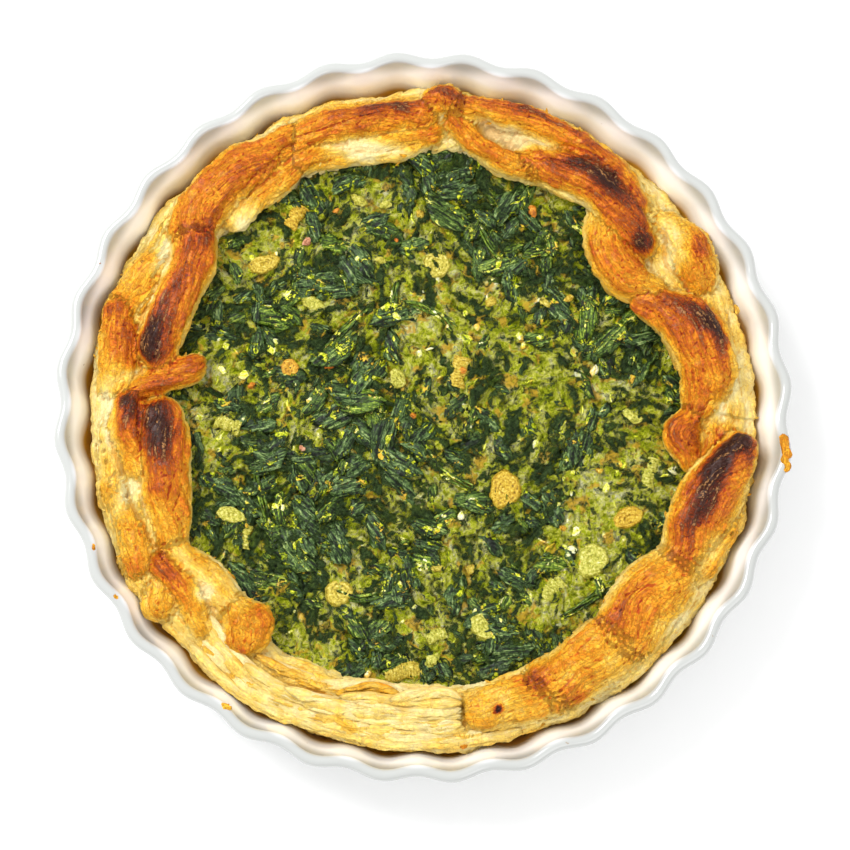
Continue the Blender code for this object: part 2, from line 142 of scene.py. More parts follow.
# Lines and hollows pressed into the dough, named after what is beside them. Each row has the points
# of the route: x, y, half width and depth, in mm. A depth below zero is a ridge.
PRESSED = {
    "pinch": "7.5 125 .7 1.4, 7.7 120 .8 1.8, 8 113 .8 1.5",
    "pinch_right_ray": "9.5 123.5 .6 .8, 12 118.5 .6 1, 14.8 115 .6 .6",
    "pinch_left_ray": "5.5 123 .6 .8, 3.5 118.5 .6 .9, 0 115 .6 .5",
    "pocket": "19.6 114.5 .8 1.5, 24 111.2 1.8 2.4, 29 107.3 2.1 2.8, 35 103.8 1.9 2.4, 41 101.8 .8 1.5",
    "scorched_roll_line": "42.8 98 .5 .8, 48.6 98.6 .6 1.3, 53.5 97.6 .6 1.3, 61.2 93.8 .6 .8",
    "over_scorched_roll": "41.4 101.3 .7 1.2, 47 103 .8 1.8, 54 103 .8 1.6, 62 101 .8 1.2, 69 98 .7 .8",
    "roll_tip": "82 73 .5 .6, 83.2 66 .5 1, 83.6 62.5 .5 .6",
    "behind_roll_tip": "90.5 72 .7 1, 91.6 69 .7 1.8, 92.8 61.4 .7 2, 95.5 56.5 .6 1.6, 101.3 51.2 .5 .8",
    "back_bend": "-54.5 96.2 .7 1.2, -54.2 100 .8 2, -51.4 102.2 .8 2, -47 102.8 .7 1.4, -37 103.5 .6 .8",
    "back_roll":
        "-49 105.7 .6 .9, -40 108 .6 1.2, -32 111 .6 1.3, -27 113.2 .5 1, -19 116 .5 .7, -12 116.2 .5 .4",
    "back_left_crack":
        "-59 95.6 .6 1, -64.6 90.5 .6 1.4, -67.2 86.7 .6 1.4, -70.3 83 .6 1.2, -71.5 78.7 .5 1.1,"
        "-75.3 73 .5 .6",
    "back_left_inner_crack": "-57 97.5 .5 .8, -62.1 90 .5 1, -67.1 82.4 .5 .8",
    "back_face": "-33 103.5 .5 .7, -22 101.5 .5 .8, -10 102 .5 .7, -3 104 .5 .4",
    "left_band": "-118.7 -9 .7 1, -117.1 -16 .8 1.8, -114 -22.3 .8 1.8, -111.8 -25 .6 1.2, -110.8 -31.8 .8 2",
    "left_band_lower":
        "-110.8 -31.8 .8 2, -108.6 -37.2 .8 2, -105.4 -42.5 .7 1.8, -100.6 -50.5 .6 1.5, -96.4 -56.3 .6 1",
    "left_corner": "-107 45.5 .5 .7, -112 43 .5 1, -114.6 40.5 .5 .7",
    "left_bulge": "-118.8 34.5 .5 .7, -113 32 .5 1",
    "scorched_left": "-99 31 .6 .9, -100.8 25 .7 1.4, -102.7 19.7 .6 1.1",
    "between_left_rolls":
        "-107 5 .9 1, -106.8 -4 .9 1.8, -106.5 -14 .8 1.4, -104.2 -22 .6 1, -104.4 -33.4 .6 .7",
    "left_strand": "-97.4 -35.6 .6 .9, -95 -29 .6 1.1, -93.2 -24 .5 .7",
    "left_inner_strand": "-94 -38 .6 .7, -91.5 -31 .6 1, -90.2 -23 .5 .5",
    "front_seam": "9 -120 .6 1.2, 17 -119.3 .6 1.6, 26 -118.7 .6 1.6, 34.8 -116.3 .6 1",
    "front_corner": "8.5 -104 .6 .8, 13 -108.5 .6 1.4, 14.8 -113 .6 1.4, 15.2 -118 .6 1",
    "front_right_wrinkle": "87 -65 .8 .8, 79 -67.5 .8 1, 73 -71 .8 .6",
    "front_fin": "57.2 -93.6 1.4 -1, 58.5 -98.3 1.3 -1.4, 53.1 -105.1 1.2 -1.6, 49.7 -112 1.2 -1",
    "curl_outer": "-102 -66 .5 .6, -103 -73 .5 .9, -97 -77 .5 .8, -92.5 -73 .5 .6",
    "curl_inner": "-100 -68 .5 .7, -99.5 -73 .5 .8, -96 -73 .5 .5",
    "behind_lip": "-64.7 -93.2 .6 1.2, -58 -98.5 .8 2.4, -50 -103 1 3, -42 -106 1 2.8, -28 -109 .6 1.2",
    "little_hole": "26.5 -112.6 .9 1.6, 27.3 -112.6 .9 1.6",
    "knob": "-72 -70 .7 .8, -73.5 -78 .8 1.6, -71 -87 .7 1.4",
}

# Where the oven has browned the pastry more or less than its roll: x, y, half length and half width
# in mm, turn in degrees, and how much is added, below zero for pale dough. The last row darkens the
# little pressed hole as painted shade.
BROWNED = flat_rows("""
    -17 119.5 16 3.2 6 .3, 8 123.5 8 3 0 .22, 21 122 6 2.6 -25 .25, 37 118.5 9 3.2 -15 .32,
    50 112.5 8 2.4 -28 .2, 62 106.5 8 2 -32 .28, 52 98.5 10 3.4 -5 .25, 66 93 9 4 -38 .35,
    71 90 5 2.6 -50 .35, 84 66 5 4.5 0 .35, 78.5 82 9 4.5 -65 .12, 105 65 4.5 3 -60 .3,
    100 41 9 4.5 -30 .22, 109 34 6 5 -40 .42, 113 27 6 3.5 -70 .3, 97 -6 4 4 0 .12,
    116 -9 7 4.5 -35 .45, 112 -16 8 5 60 .36, 105.5 -31 11 4.5 68 .4, 99.5 -45 9 4 66 .25,
    97 -56 4 3 80 .15, 82 -63 7 4 50 .08, 77 -74 9 4.5 35 .15, 70 -82 6 4 40 .1,
    43 -101.8 6 5 20 .18, 57.5 -108.5 5 2.5 60 .2, 50 -95 7 3.5 35 .08, -84 67 6 5 60 .22,
    -98 44 11 4 62 .25, -104 28 9 4.5 65 .35, -105.5 23 6 4 70 .25, -119.5 39 4 3 30 .3,
    -111.5 1.5 7.5 4 85 .3, -100 -2 7 4.8 90 .4, -99 -13 8 4 95 .3, -90 15 5 4 0 .1,
    -64.5 -75 5 3 30 .1, -95 -61 4 2.5 -40 .15, -116 26 8 4 80 .12,
    -18 101.5 15 2.6 -8 -.35, -57 81 5 2.5 60 -.25, -69 72.5 6 3 45 -.3, 33 108.5 9 2 -37 -.45,
    45 103 5 1.6 -10 -.4, 97 62 6 3.5 90 -.25, 93.5 71 7 2 -80 -.2, 117 22 9 2.5 -80 -.3,
    112 0 6 3 -80 -.35, -99.3 61 7 2 75 -.3, -99 47 7 1.5 58 -.3, -120 8 8 3 85 -.25,
    -110 14 4 3 0 -.3, -115 -36 9 3 70 -.2, -119 -5 8 3 85 -.25, -90 -57 7 3 -50 -.3,
    -82 -68 4 3 -30 -.35, 95 -79 4 2.5 50 -.3, 110 -52 8 2.5 68 -.12, 60 -112 12 2.5 30 -.25,
    27 -112.6 1.2 1.2 0 1.3
""")


def steady_random(x, y, z, seed):
    """A number from 0 to 1 for each place on a lattice of whole numbers, the same in every run."""
    mixed = (x * 73856093) ^ (y * 19349663) ^ (z * 83492791) ^ (seed * 40503 + 977)
    mixed = (mixed ^ (mixed >> 13)) * 1274126177 & 0xFFFFFFFF
    mixed = (mixed ^ (mixed >> 15)) * 2246822519 & 0xFFFFFFFF
    return ((mixed ^ (mixed >> 16)) & 0xFFFF) / 65535.0


def patches(points, size, seed):
    """Smooth noise from -1 to 1. Size is the size of a patch, one number or one for each axis."""
    scaled = points / size
    corner = np.floor(scaled).astype(np.int64)
    share = scaled - corner
    share = share * share * share * (share * (share * 6 - 15) + 10)
    total = np.zeros(len(points))
    for step in np.ndindex(2, 2, 2):
        weight = np.prod(np.where(step, share, 1 - share), axis=1)
        total += weight * steady_random(*(corner + step).T, seed)
    return 2 * total - 1


def rough_patches(points, size, octaves, seed):
    """Noise with finer and finer patches laid over each other, from about -1 to 1."""
    total, reach = np.zeros(len(points)), 0.0
    for octave in range(octaves):
        share = 0.55**octave
        total += share * patches(points, np.asarray(size) / 2.03**octave, seed + 17 * octave)
        reach += share
    return total / reach


def pulls(points, size, seed, axes=2):
    """Smooth noise for each axis, for pulling points about."""
    return np.stack([patches(points, size, seed + axis) for axis in range(axes)], axis=1)


def oval_marks(points, marks, patch, pull, seed, fall):
    """The sum of soft oval marks at each point, with ragged outlines from pulling the points about."""
    place = points[:, :2] + pulls(points, patch, seed) * pull
    total = np.zeros(len(points))
    for x, y, length, width, turn, amount in marks:
        off = place - [x * MM, y * MM]
        c, s = math.cos(math.radians(turn)), math.sin(math.radians(turn))
        along = (off[:, 0] * c + off[:, 1] * s) / (length * MM)
        across = (off[:, 1] * c - off[:, 0] * s) / (width * MM)
        total += amount * np.exp(-fall * (along**2 + across**2))
    return total


def ramp(values, low, high):
    """0 below low, 1 above high, smooth between them."""
    share = np.clip((values - low) / (high - low), 0, 1)
    return share * share * (3 - 2 * share)


def on_floor(places):
    """Places in plan as points on Z = 0."""
    return np.column_stack([places, np.zeros(len(places))])


def lengths_along(route):
    """How far each station is along the route."""
    return np.concatenate([[0], np.cumsum(np.linalg.norm(np.diff(route, axis=0), axis=1))])


def right_of(route):
    """The direction to the right of a route in plan, at each station."""
    ahead = np.gradient(route, axis=0)
    ahead /= np.linalg.norm(ahead, axis=1)[:, None]
    return np.column_stack([ahead[:, 1], -ahead[:, 0]])


def point_tree(points):
    """A tree that finds the nearest of the points."""
    tree = kdtree.KDTree(len(points))
    for i, place in enumerate(points):
        tree.insert(place, i)
    tree.balance()
    return tree


def positions(mesh):
    found = np.zeros(len(mesh.vertices) * 3)
    mesh.vertices.foreach_get("co", found)
    return found.reshape(-1, 3)


def normals(mesh):
    found = np.zeros(len(mesh.vertices) * 3)
    mesh.vertices.foreach_get("normal", found)
    return found.reshape(-1, 3)


def move_to(mesh, points):
    mesh.vertices.foreach_set("co", np.ascontiguousarray(points, np.float32).ravel())
    mesh.update()


def store(mesh, name, values):
    """Keeps a number or a vector for each vertex, under a name that materials read."""
    kind, slot = ("FLOAT_VECTOR", "vector") if np.ndim(values) == 2 else ("FLOAT", "value")
    layer = mesh.attributes.new(name, kind, "POINT")
    layer.data.foreach_set(slot, np.ascontiguousarray(values, np.float32).ravel())


def in_scene(name, data):
    obj = bpy.data.objects.new(name, data)
    bpy.context.scene.collection.objects.link(obj)
    return obj


def new_object(name, points, faces, look=None):
    mesh = bpy.data.meshes.new(name)
    mesh.from_pydata([tuple(p) for p in points], [], faces)
    if look:
        mesh.materials.append(look)
    mesh.shade_smooth()
    return in_scene(name, mesh)


def face_outwards(mesh):
    """Turns the faces of closed shapes to the outside."""
    shape = bmesh.new()
    shape.from_mesh(mesh)
    bmesh.ops.recalc_face_normals(shape, faces=shape.faces)
    shape.to_mesh(mesh)
    shape.free()


def settle(obj):
    """Turns what the object's modifiers make into its own plain mesh."""
    bpy.context.view_layer.update()
    made = obj.evaluated_get(bpy.context.evaluated_depsgraph_get())
    mesh = bpy.data.meshes.new_from_object(made)
    obj.modifiers.clear()
    obj.data = mesh
    return obj


def hand_over(obj, slot, *nodes):
    """Hangs a finished piece on the tart's body, and hides the imported nodes it stands for, if any."""
    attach(obj, "root")
    if nodes:
        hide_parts(*nodes)


def ring_faces(rows, count, closed_rows=False, ends=()):
    """Quads between rings of count points, and n-gons over the rings named in ends."""
    faces = []
    for row in range(rows if closed_rows else rows - 1):
        above = (row + 1) % rows
        for i in range(count):
            j = (i + 1) % count
            faces.append((row * count + i, row * count + j, above * count + j, above * count + i))
    if "first" in ends:
        faces.append(tuple(reversed(range(count))))
    if "last" in ends:
        faces.append(tuple(range((rows - 1) * count, rows * count)))
    return faces


# Node trees

class Wire:
    """An output in a node tree. Plus, minus, times and abs put a maths node on it."""

    def __init__(self, tree, socket):
        self.tree, self.socket = tree, socket

    def __add__(self, other):
        return maths("ADD", self, other)

    def __sub__(self, other):
        return maths("SUBTRACT", self, other)

    def __mul__(self, other):
        return maths("MULTIPLY", self, other)

    def __abs__(self):
        return maths("ABSOLUTE", self)

    def other(self, name):
        """Another output of the same node."""
        return Wire(self.tree, self.socket.node.outputs[name])


def join(value, socket):
    """Links a wire to an input, or sets the input's value."""
    if isinstance(value, Wire):
        value.tree.links.new(value.socket, socket)
    else:
        socket.default_value = value


def put(tree, kind, inputs=None, output=0, **settings):
    """Adds a node, joins its inputs, which are named or numbered, and gives one of its outputs."""
    node = tree.nodes.new(kind)
    for name, value in settings.items():
        setattr(node, name, value)
    for key, value in (inputs or {}).items():
        join(value, node.inputs[key])
    return Wire(tree, node.outputs[output])


def new_group(name, kind, inputs, outputs):
    """A node group and the wires that come into it. The sockets are names with their kinds."""
    tree = bpy.data.node_groups.new(name, kind)
    for way, sockets in (("OUTPUT", outputs), ("INPUT", inputs)):
        for socket, socket_kind in sockets.items():
            tree.interface.new_socket(socket, in_out=way, socket_type="NodeSocket" + socket_kind)
    entry = tree.nodes.new("NodeGroupInput")

    def given(socket):
        return Wire(tree, entry.outputs[socket])

    return tree, given


def shaping_group(name, numbers):
    """A node group that changes a shape, as the numbers say."""
    inputs = {"Geometry": "Geometry", **{number: "Float" for number in numbers}}
    return new_group(name, "GeometryNodeTree", inputs, {"Geometry": "Geometry"})


def put_out(tree, values):
    """Ends a group with its outputs."""
    end = tree.nodes.new("NodeGroupOutput")
    for name, value in values.items():
        join(value, end.inputs[name])


def put_out_shape(shape, look):
    """Ends a shaping group with one plain mesh, smooth and of one look."""
    whole = put(shape.tree, "GeometryNodeRealizeInstances", {0: shape})
    painted = put(shape.tree, "GeometryNodeSetMaterial", {"Geometry": whole, "Material": look})
    put_out(shape.tree, {"Geometry": put(shape.tree, "GeometryNodeSetShadeSmooth", {"Geometry": painted})})


def maths(operation, a, b=0.0):
    return put(a.tree, "ShaderNodeMath", {0: a, 1: b}, operation=operation)


def vectors(operation, a, b=(0, 0, 0), output=0, **inputs):
    return put(a.tree, "ShaderNodeVectorMath", {0: a, 1: b, **inputs}, output, operation=operation)


def mapped(value, low, high, to_low=0.0, to_high=1.0, smooth=True):
    """Carries the stretch from low to high over to another one, and goes no further."""
    kind = "SMOOTHSTEP" if smooth else "LINEAR"
    inputs = {"Value": value, "From Min": low, "From Max": high, "To Min": to_low, "To Max": to_high}
    return put(value.tree, "ShaderNodeMapRange", inputs, interpolation_type=kind)


def blended(share, a, b, way="MIX"):
    """Two colours mixed. The inputs of a colour mix are numbers 0, 6 and 7, its output number 2."""
    tree = next(value.tree for value in (share, a, b) if isinstance(value, Wire))
    return put(tree, "ShaderNodeMix", {0: share, 6: a, 7: b}, 2, data_type="RGBA", blend_type=way)


def colour(r, g, b):
    """A colour as seen on a screen, from 0 to 255, made linear for the shader."""
    return tuple(
        c / 12.92 if c <= 0.04045 else ((c + 0.055) / 1.055) ** 2.4
        for c in (r / 255, g / 255, b / 255)
    ) + (1.0,)


def colour_ramp(value, stops):
    """Colours along a value. The stops are rows of the value and its red, green and blue."""
    stops = flat_rows(stops)
    ramped = put(value.tree, "ShaderNodeValToRGB", {"Fac": value}, "Color")
    steps = ramped.socket.node.color_ramp.elements
    while len(steps) < len(stops):
        steps.new(0.5)
    for step, (place, *screen) in zip(steps, stops):
        step.position = place
        step.color = colour(*screen)
    return ramped


def grains(place, size, detail=3.0, roughness=0.55, distortion=0.0):
    """Noise from 0 to 1 in patches of a size in metres."""
    return put(place.tree, "ShaderNodeTexNoise", {
        "Vector": place, "Scale": 1 / size, "Detail": detail, "Roughness": roughness,
        "Distortion": distortion,
    })


def strokes_of(grain, share, size, detail=3.0, roughness=0.55, distortion=0.0):
    """Noise drawn out into strokes along the grain: the smaller the share, the longer they are."""
    drawn = put(grain.tree, "ShaderNodeMapping", {"Vector": grain, "Scale": (share, 1.0, 1.0)})
    return grains(drawn, size, detail, roughness, distortion)


def in_plan(place):
    """The place's height, the place laid on Z = 0, and its distance from the middle axis."""
    parts = put(place.tree, "ShaderNodeSeparateXYZ", {0: place})
    flat = put(place.tree, "ShaderNodeCombineXYZ", {"X": parts, "Y": parts.other("Y")})
    return parts.other("Z"), flat, vectors("LENGTH", flat, output="Value")


def object_place(tree):
    return put(tree, "ShaderNodeTexCoord", output="Object")


def attribute(tree, name, output="Fac"):
    return put(tree, "ShaderNodeAttribute", output=output, attribute_name=name)


def new_look(name, roughness, specular=0.5, coat=0.0, coat_roughness=0.1, subsurface=0.0):
    """A material with its Principled shader. Values that are the same all over are set on it."""
    look = bpy.data.materials.new(name)
    look.use_nodes = True
    shader = look.node_tree.nodes["Principled BSDF"]
    for name, value in {
        "Roughness": roughness, "Specular IOR Level": specular, "Coat Weight": coat,
        "Coat Roughness": coat_roughness, "Subsurface Weight": subsurface,
        "Subsurface Radius": (1.0, 0.5, 0.25), "Subsurface Scale": 1.5 * MM,
    }.items():
        shader.inputs[name].default_value = value
    return look, look.node_tree, shader


def bumped(shader, height, distance, strength=1.0):
    inputs = {"Height": height, "Distance": distance, "Strength": strength}
    join(put(height.tree, "ShaderNodeBump", inputs), shader.inputs["Normal"])


def glaze_look():
    """White glaze: a soft shine, a warm tint down the inner wall, part baked butter, part painted shade, and
    tiny specks.
    """
    look, tree, shader = new_look("white_glaze", 0.16, specular=0.5, coat=0.6, coat_roughness=0.05)
    place = object_place(tree)
    height, _, radius = in_plan(place)
    behind_face = mapped(height * WALL_SLOPE + FOOT_RADIUS - radius, 2.2 * MM, 3.2 * MM)
    above_foot = mapped(height, 2.5 * MM, 4 * MM)
    # Painted shade and light: the rim and the outer wall get a grey, the inner wall a bluish near-white that
    # cancels warm bounce light, though all of it is one white glaze.
    inside = mapped(radius, RIM_RADIUS - 3.5 * MM, RIM_RADIUS - 7 * MM) * (behind_face * above_foot)
    # Warmer and darker down the inner wall towards the pastry: partly baked-on butter, partly painted shade
    # and warm bounce light from the crust in the gap.
    depth = mapped(height, DISH_HEIGHT - 7 * MM, DISH_HEIGHT - 19 * MM, smooth=False)
    baked = depth + (grains(place, 26 * MM, 2.0) - 0.5) * 0.5
    wall = colour_ramp(baked, "0 250 252 255, .5 252 248 244, .8 246 228 198, 1 244 190 74")
    tint = blended(inside, colour(182, 184, 181), wall)
    specks = mapped(grains(place, 2.2 * MM, 1.0), 0.79, 0.82)
    tint = blended(specks * 0.5, tint, colour(150, 120, 80))
    join(tint, shader.inputs["Base Color"])
    bumped(shader, grains(place, 9 * MM, 1.0), 0.15 * MM)
    return look


def turned(name, profile, steps):
    """A profile turned round the middle axis. It is given in radius and height pairs in mm."""
    outline = [(radius * MM, 0.0, height * MM) for radius, height in profile]
    mesh = bpy.data.meshes.new(name)
    mesh.from_pydata(outline, [(i, i + 1) for i in range(len(outline) - 1)], [])
    obj = in_scene(name, mesh)
    turn = obj.modifiers.new("turned", "SCREW")
    turn.steps = turn.render_steps = steps
    turn.use_merge_vertices = True
    turn.merge_threshold = 0.01 * MM
    return obj


def flute_tree(look):
    """Waves a turned wall into flutes, which grow from the smooth radius to the full one."""
    numbers = ("Flutes", "Wave", "First flute", "Smooth radius", "Full radius")
    tree, given = shaping_group("flute_the_wall", numbers)
    place = put(tree, "GeometryNodeInputPosition")
    _, flat, radius = in_plan(place)
    parts = put(tree, "ShaderNodeSeparateXYZ", {0: place})
    angle = maths("ARCTAN2", parts.other("Y"), parts)
    wave = maths("COSINE", (angle - given("First flute")) * given("Flutes")) * given("Wave")
    reach = wave * mapped(radius, given("Smooth radius"), given("Full radius"))
    offset = vectors("SCALE", vectors("NORMALIZE", flat), Scale=reach)
    put_out_shape(put(tree, "GeometryNodeSetPosition", {
        "Geometry": given("Geometry"), "Offset": offset,
    }), look)
    return tree


def set_inputs(modifier, **values):
    """Sets a Geometry Nodes modifier's inputs by the identifiers of their sockets."""
    for item in modifier.node_group.interface.items_tree:
        name = item.name.lower().replace(" ", "_")
        if item.in_out == "INPUT" and name in values:
            modifier[item.identifier] = values[name]


def make_dish(look):
    """The wall's section, turned round the middle and waved into flutes."""
    wall = DISH_WALL / MM
    high = DISH_HEIGHT / MM

    def at(height, inwards=0.0):
        return FOOT_RADIUS / MM + WALL_SLOPE * height - inwards, height

    rim_radius = wall / 2
    rim_middle = (RIM_RADIUS / MM - rim_radius, high - rim_radius)
    rim = [
        (rim_middle[0] + rim_radius * math.cos(a), rim_middle[1] + rim_radius * math.sin(a))
        for a in np.radians(np.arange(0, 181, 15))
    ]
    dish = turned("fluted_dish", [
        (0, 1.2), (60, 1.2), (112.8, 1.2), (113.9, 0.6), (114.4, 0.05), (119.2, 0.0), (120.6, 0.5),
        (122.4, 1.6), at(4, 0.8), at(7, 0.2),
        *[at(h, -0.3 * math.sin(math.pi * h / high)) for h in range(11, 40, 4)],
        *rim,
        *[at(h, wall + 0.1) for h in range(38, 13, -4)],
        at(11, wall + 0.4), at(8.2, wall + 1.6), (118.0, 6.2), (114.5, 5.1), (108, 5.0), (60, 5.0), (0, 5.0),
    ], FLUTES * STEPS_PER_FLUTE)
    flutes = dish.modifiers.new("fluted", "NODES")
    flutes.node_group = flute_tree(look)
    set_inputs(
        flutes, flutes=float(FLUTES), wave=FLUTE_WAVE, first_flute=FIRST_FLUTE,
        smooth_radius=119 * MM, full_radius=126 * MM,
    )
    settle(dish)
    face_outwards(dish.data)
    hand_over(dish, "white_glaze", "dish")


# The pastry

def smooth_route(points, step):
    """Stations along a Catmull-Rom curve through the points, about one step apart in plan."""
    points = np.asarray(points, float)
    padded = np.vstack([2 * points[0] - points[1], points, 2 * points[-1] - points[-2]])
    stations = []
    for before, start, end, after in zip(padded, padded[1:], padded[2:], padded[3:]):
        pieces = max(1, round(math.dist(start[:2], end[:2]) / step))
        for k in range(pieces):
            t = k / pieces
            stations.append(0.5 * (
                2 * start + (end - before) * t
                + (2 * before - 5 * start + 4 * end - after) * t**2
                + (3 * start - before - 3 * end + after) * t**3
            ))
    stations.append(points[-1])
    return np.array(stations)


def bump_at(angle, centre, width):
    off = (np.degrees(angle) - centre + 180) % 360 - 180
    return np.exp(-((off / width) ** 2))


def pastry_outline(angle):
    """The pastry's outer radius: it has shrunk a little unevenly off the dish's wall."""
    shift = -1.6 * np.cos(angle) + 0.4 * np.sin(angle)
    swell = 3.4 * bump_at(angle, -43, 26) + 1.6 * bump_at(angle, 213, 14) + 2.2 * bump_at(angle, 163, 8)
    ripple = 0.5 * np.sin(9 * angle) + 0.4 * np.sin(14 * angle + 1)
    return PASTRY_RADIUS + (shift + swell + ripple) * MM


class Dough:
    """Overlapping closed shapes of dough. Each point knows its grain, bake and height of crest."""

    def __init__(self):
        self.points, self.faces = [], []
        self.known = {"grain": [], "along": [], "across": [], "bake": [], "crest": []}

    def add(self, points, faces, **known):
        start = len(self.points)
        self.points += points
        self.faces += [tuple(start + i for i in face) for face in faces]
        for name, values in known.items():
            self.known[name] += values


def add_fold(dough, number, route, step=2 * MM, sides=28):
    """A roll of dough with an oval section and rounded ends, along a route in mm."""
    stations = smooth_route(np.array(route) * [MM, MM, MM, MM, 1], step)
    last = len(stations) - 1
    ahead = stations[np.minimum(np.arange(last + 1) + 1, last), :2]
    behind = stations[np.maximum(np.arange(last + 1) - 1, 0), :2]
    tangents = (ahead - behind) / np.linalg.norm(ahead - behind, axis=1)[:, None]
    lengths = lengths_along(stations[:, :2])
    round_end = ((0.3, 0.95), (0.6, 0.8), (0.84, 0.54), (0.96, 0.26))
    rows = [(0, -past_end, size) for past_end, size in reversed(round_end)]
    rows += [(i, 0.0, 1.0) for i in range(last + 1)]
    rows += [(last, past_end, size) for past_end, size in round_end]
    points, grain, along, across, bake, crest = [], [], [], [], [], []
    for station, past_end, size in rows:
        x, y, half, top, baked = stations[station]
        ahead = Vector((*tangents[station], 0))
        sideways = Vector((ahead.y, -ahead.x, 0))
        middle = Vector((x, y, (top + FOLD_BASE) / 2)) + ahead * past_end * half
        rise = (top - FOLD_BASE) / 2
        for k in range(sides):
            turn = math.tau * k / sides
            off = sideways * half * math.cos(turn) + Vector((0, 0, rise * math.sin(turn)))
            points.append(middle + off * size)
            around = (-sideways * math.sin(turn) + Vector((0, 0, math.cos(turn)))).normalized()
            grain.append((lengths[station] + past_end * half, turn * half, number))
            along.append(ahead)
            across.append(around)
            bake.append(baked)
            crest.append(top)
    faces = ring_faces(len(rows), sides, ends=("first", "last"))
    dough.add(points, faces, grain=grain, along=along, across=across, bake=bake, crest=crest)


def add_band(dough, segments=540):
    """The puffed edge of the sheet that lines the dish: a closed ring under all the folds."""
    angle = np.arange(segments) * math.tau / segments
    outline = pastry_outline(angle)
    level = PASTRY_LEVEL + 0.7 * MM * np.sin(7 * angle + 2)
    rows = (
        (126.2 * MM, CRUST_BASE), (127.2 * MM, 30.5 * MM), (127.3 * MM, 32.2 * MM),
        (outline + 0.8 * MM, 33.6 * MM), (outline - 0.8 * MM, level - 2.6 * MM),
        (outline - 3.5 * MM, level - 0.6 * MM), (outline - 6 * MM, level - 0.1 * MM),
        (outline - 9 * MM, level), (outline - 12 * MM, level - 0.4 * MM),
        (outline - 15 * MM, level - 1.0 * MM), (106.5 * MM, level - 1.8 * MM), (104.6 * MM, 34.6 * MM),
        (102.4 * MM, 31.6 * MM), (100 * MM, CRUST_BASE),
    )
    points, grain, along, across = [], [], [], []
    reach = 0.0
    for radius, height in rows:
        radius = np.broadcast_to(radius, angle.shape)
        height = np.broadcast_to(height, angle.shape)
        reach += 3 * MM
        for a, r, z in zip(angle, radius, height):
            points.append(Vector((r * math.cos(a), r * math.sin(a), z)))
            grain.append((a * PASTRY_RADIUS, reach, -1))
            along.append(Vector((-math.sin(a), math.cos(a), 0)))
            across.append(Vector((-math.cos(a), -math.sin(a), 0)))
    bake, crest = [BAND_BAKE] * len(points), [PASTRY_LEVEL] * len(points)
    faces = ring_faces(len(rows), segments, closed_rows=True)
    dough.add(points, faces, grain=grain, along=along, across=across, bake=bake, crest=crest)


def one_dough(dough):
    """Melts the overlapping shapes into one skin of even small faces."""
    crust = new_object("pastry_edge", dough.points, dough.faces)
    face_outwards(crust.data)
    remesh = crust.modifiers.new("one_dough", "REMESH")
    remesh.mode = "VOXEL"
    remesh.voxel_size = DOUGH_GRID
    remesh.use_smooth_shade = True
    soft = crust.modifiers.new("soft_creases", "SMOOTH")
    soft.iterations = DOUGH_SMOOTHING
    return settle(crust)


def grain_of(points, dough):
    """The grain, the bake and the crest for each point, from the nearest point of the raw dough."""
    tree = point_tree(dough.points)
    nearest = np.array([tree.find(p)[1] for p in points])
    known = {name: np.array(values)[nearest] for name, values in dough.known.items()}
    off = points - np.array(dough.points)[nearest]
    grain = known["grain"]
    grain[:, 0] += np.einsum("ij,ij->i", off, known["along"])
    grain[:, 1] += np.einsum("ij,ij->i", off, known["across"])
    return grain, known["bake"], known["crest"]


def pressed_depth(points):
    """How deep each point is pressed in by the lines and hollows, in metres."""
    depth = np.zeros(len(points))
    for rows in PRESSED.values():
        stations = smooth_route(np.array(flat_rows(rows)) * MM, 0.8 * MM)
        low, high = stations[:, :2].min(axis=0) - 5 * MM, stations[:, :2].max(axis=0) + 5 * MM
        near = np.flatnonzero(((points[:, :2] > low) & (points[:, :2] < high)).all(axis=1))
        gaps = np.linalg.norm(points[near, None, :2] - stations[None, :, :2], axis=2)
        closest = gaps.argmin(axis=1)
        share = np.exp(-((gaps.min(axis=1) / stations[closest, 2]) ** 2))
        depth[near] += share * stations[closest, 3]
    return depth


def browned(points):
    """How much more or less than its roll each point is baked, and the little hole's painted shade."""
    return oval_marks(points, BROWNED, 7 * MM, 2 * MM, 61, 0.7)


def hollowness(mesh, rounds):
    """How far each vertex lies below the average of those round it, in metres, along its normal."""
    points, outwards = positions(mesh), normals(mesh)
    ends = np.zeros(len(mesh.edges) * 2, dtype=np.int64)
    mesh.edges.foreach_get("vertices", ends)
    ends = ends.reshape(-1, 2)
    count = np.bincount(ends.ravel(), minlength=len(points))[:, None]
    average = points.copy()
    for _ in range(rounds):
        total = np.zeros_like(average)
        for axis in range(3):
            total[:, axis] = (
                np.bincount(ends[:, 0], average[ends[:, 1], axis], len(points))
                + np.bincount(ends[:, 1], average[ends[:, 0], axis], len(points))
            )
        average = 0.5 * (average + total / count)
    return np.einsum("ij,ij->i", average - points, outwards)


def steps_of(values, count):
    """Turns a slope into flat steps with short rises, like the edges of thin layers."""
    scaled = values * count
    whole = np.floor(scaled)
    return (whole + ramp(scaled - whole, 0.72, 1.0)) / count


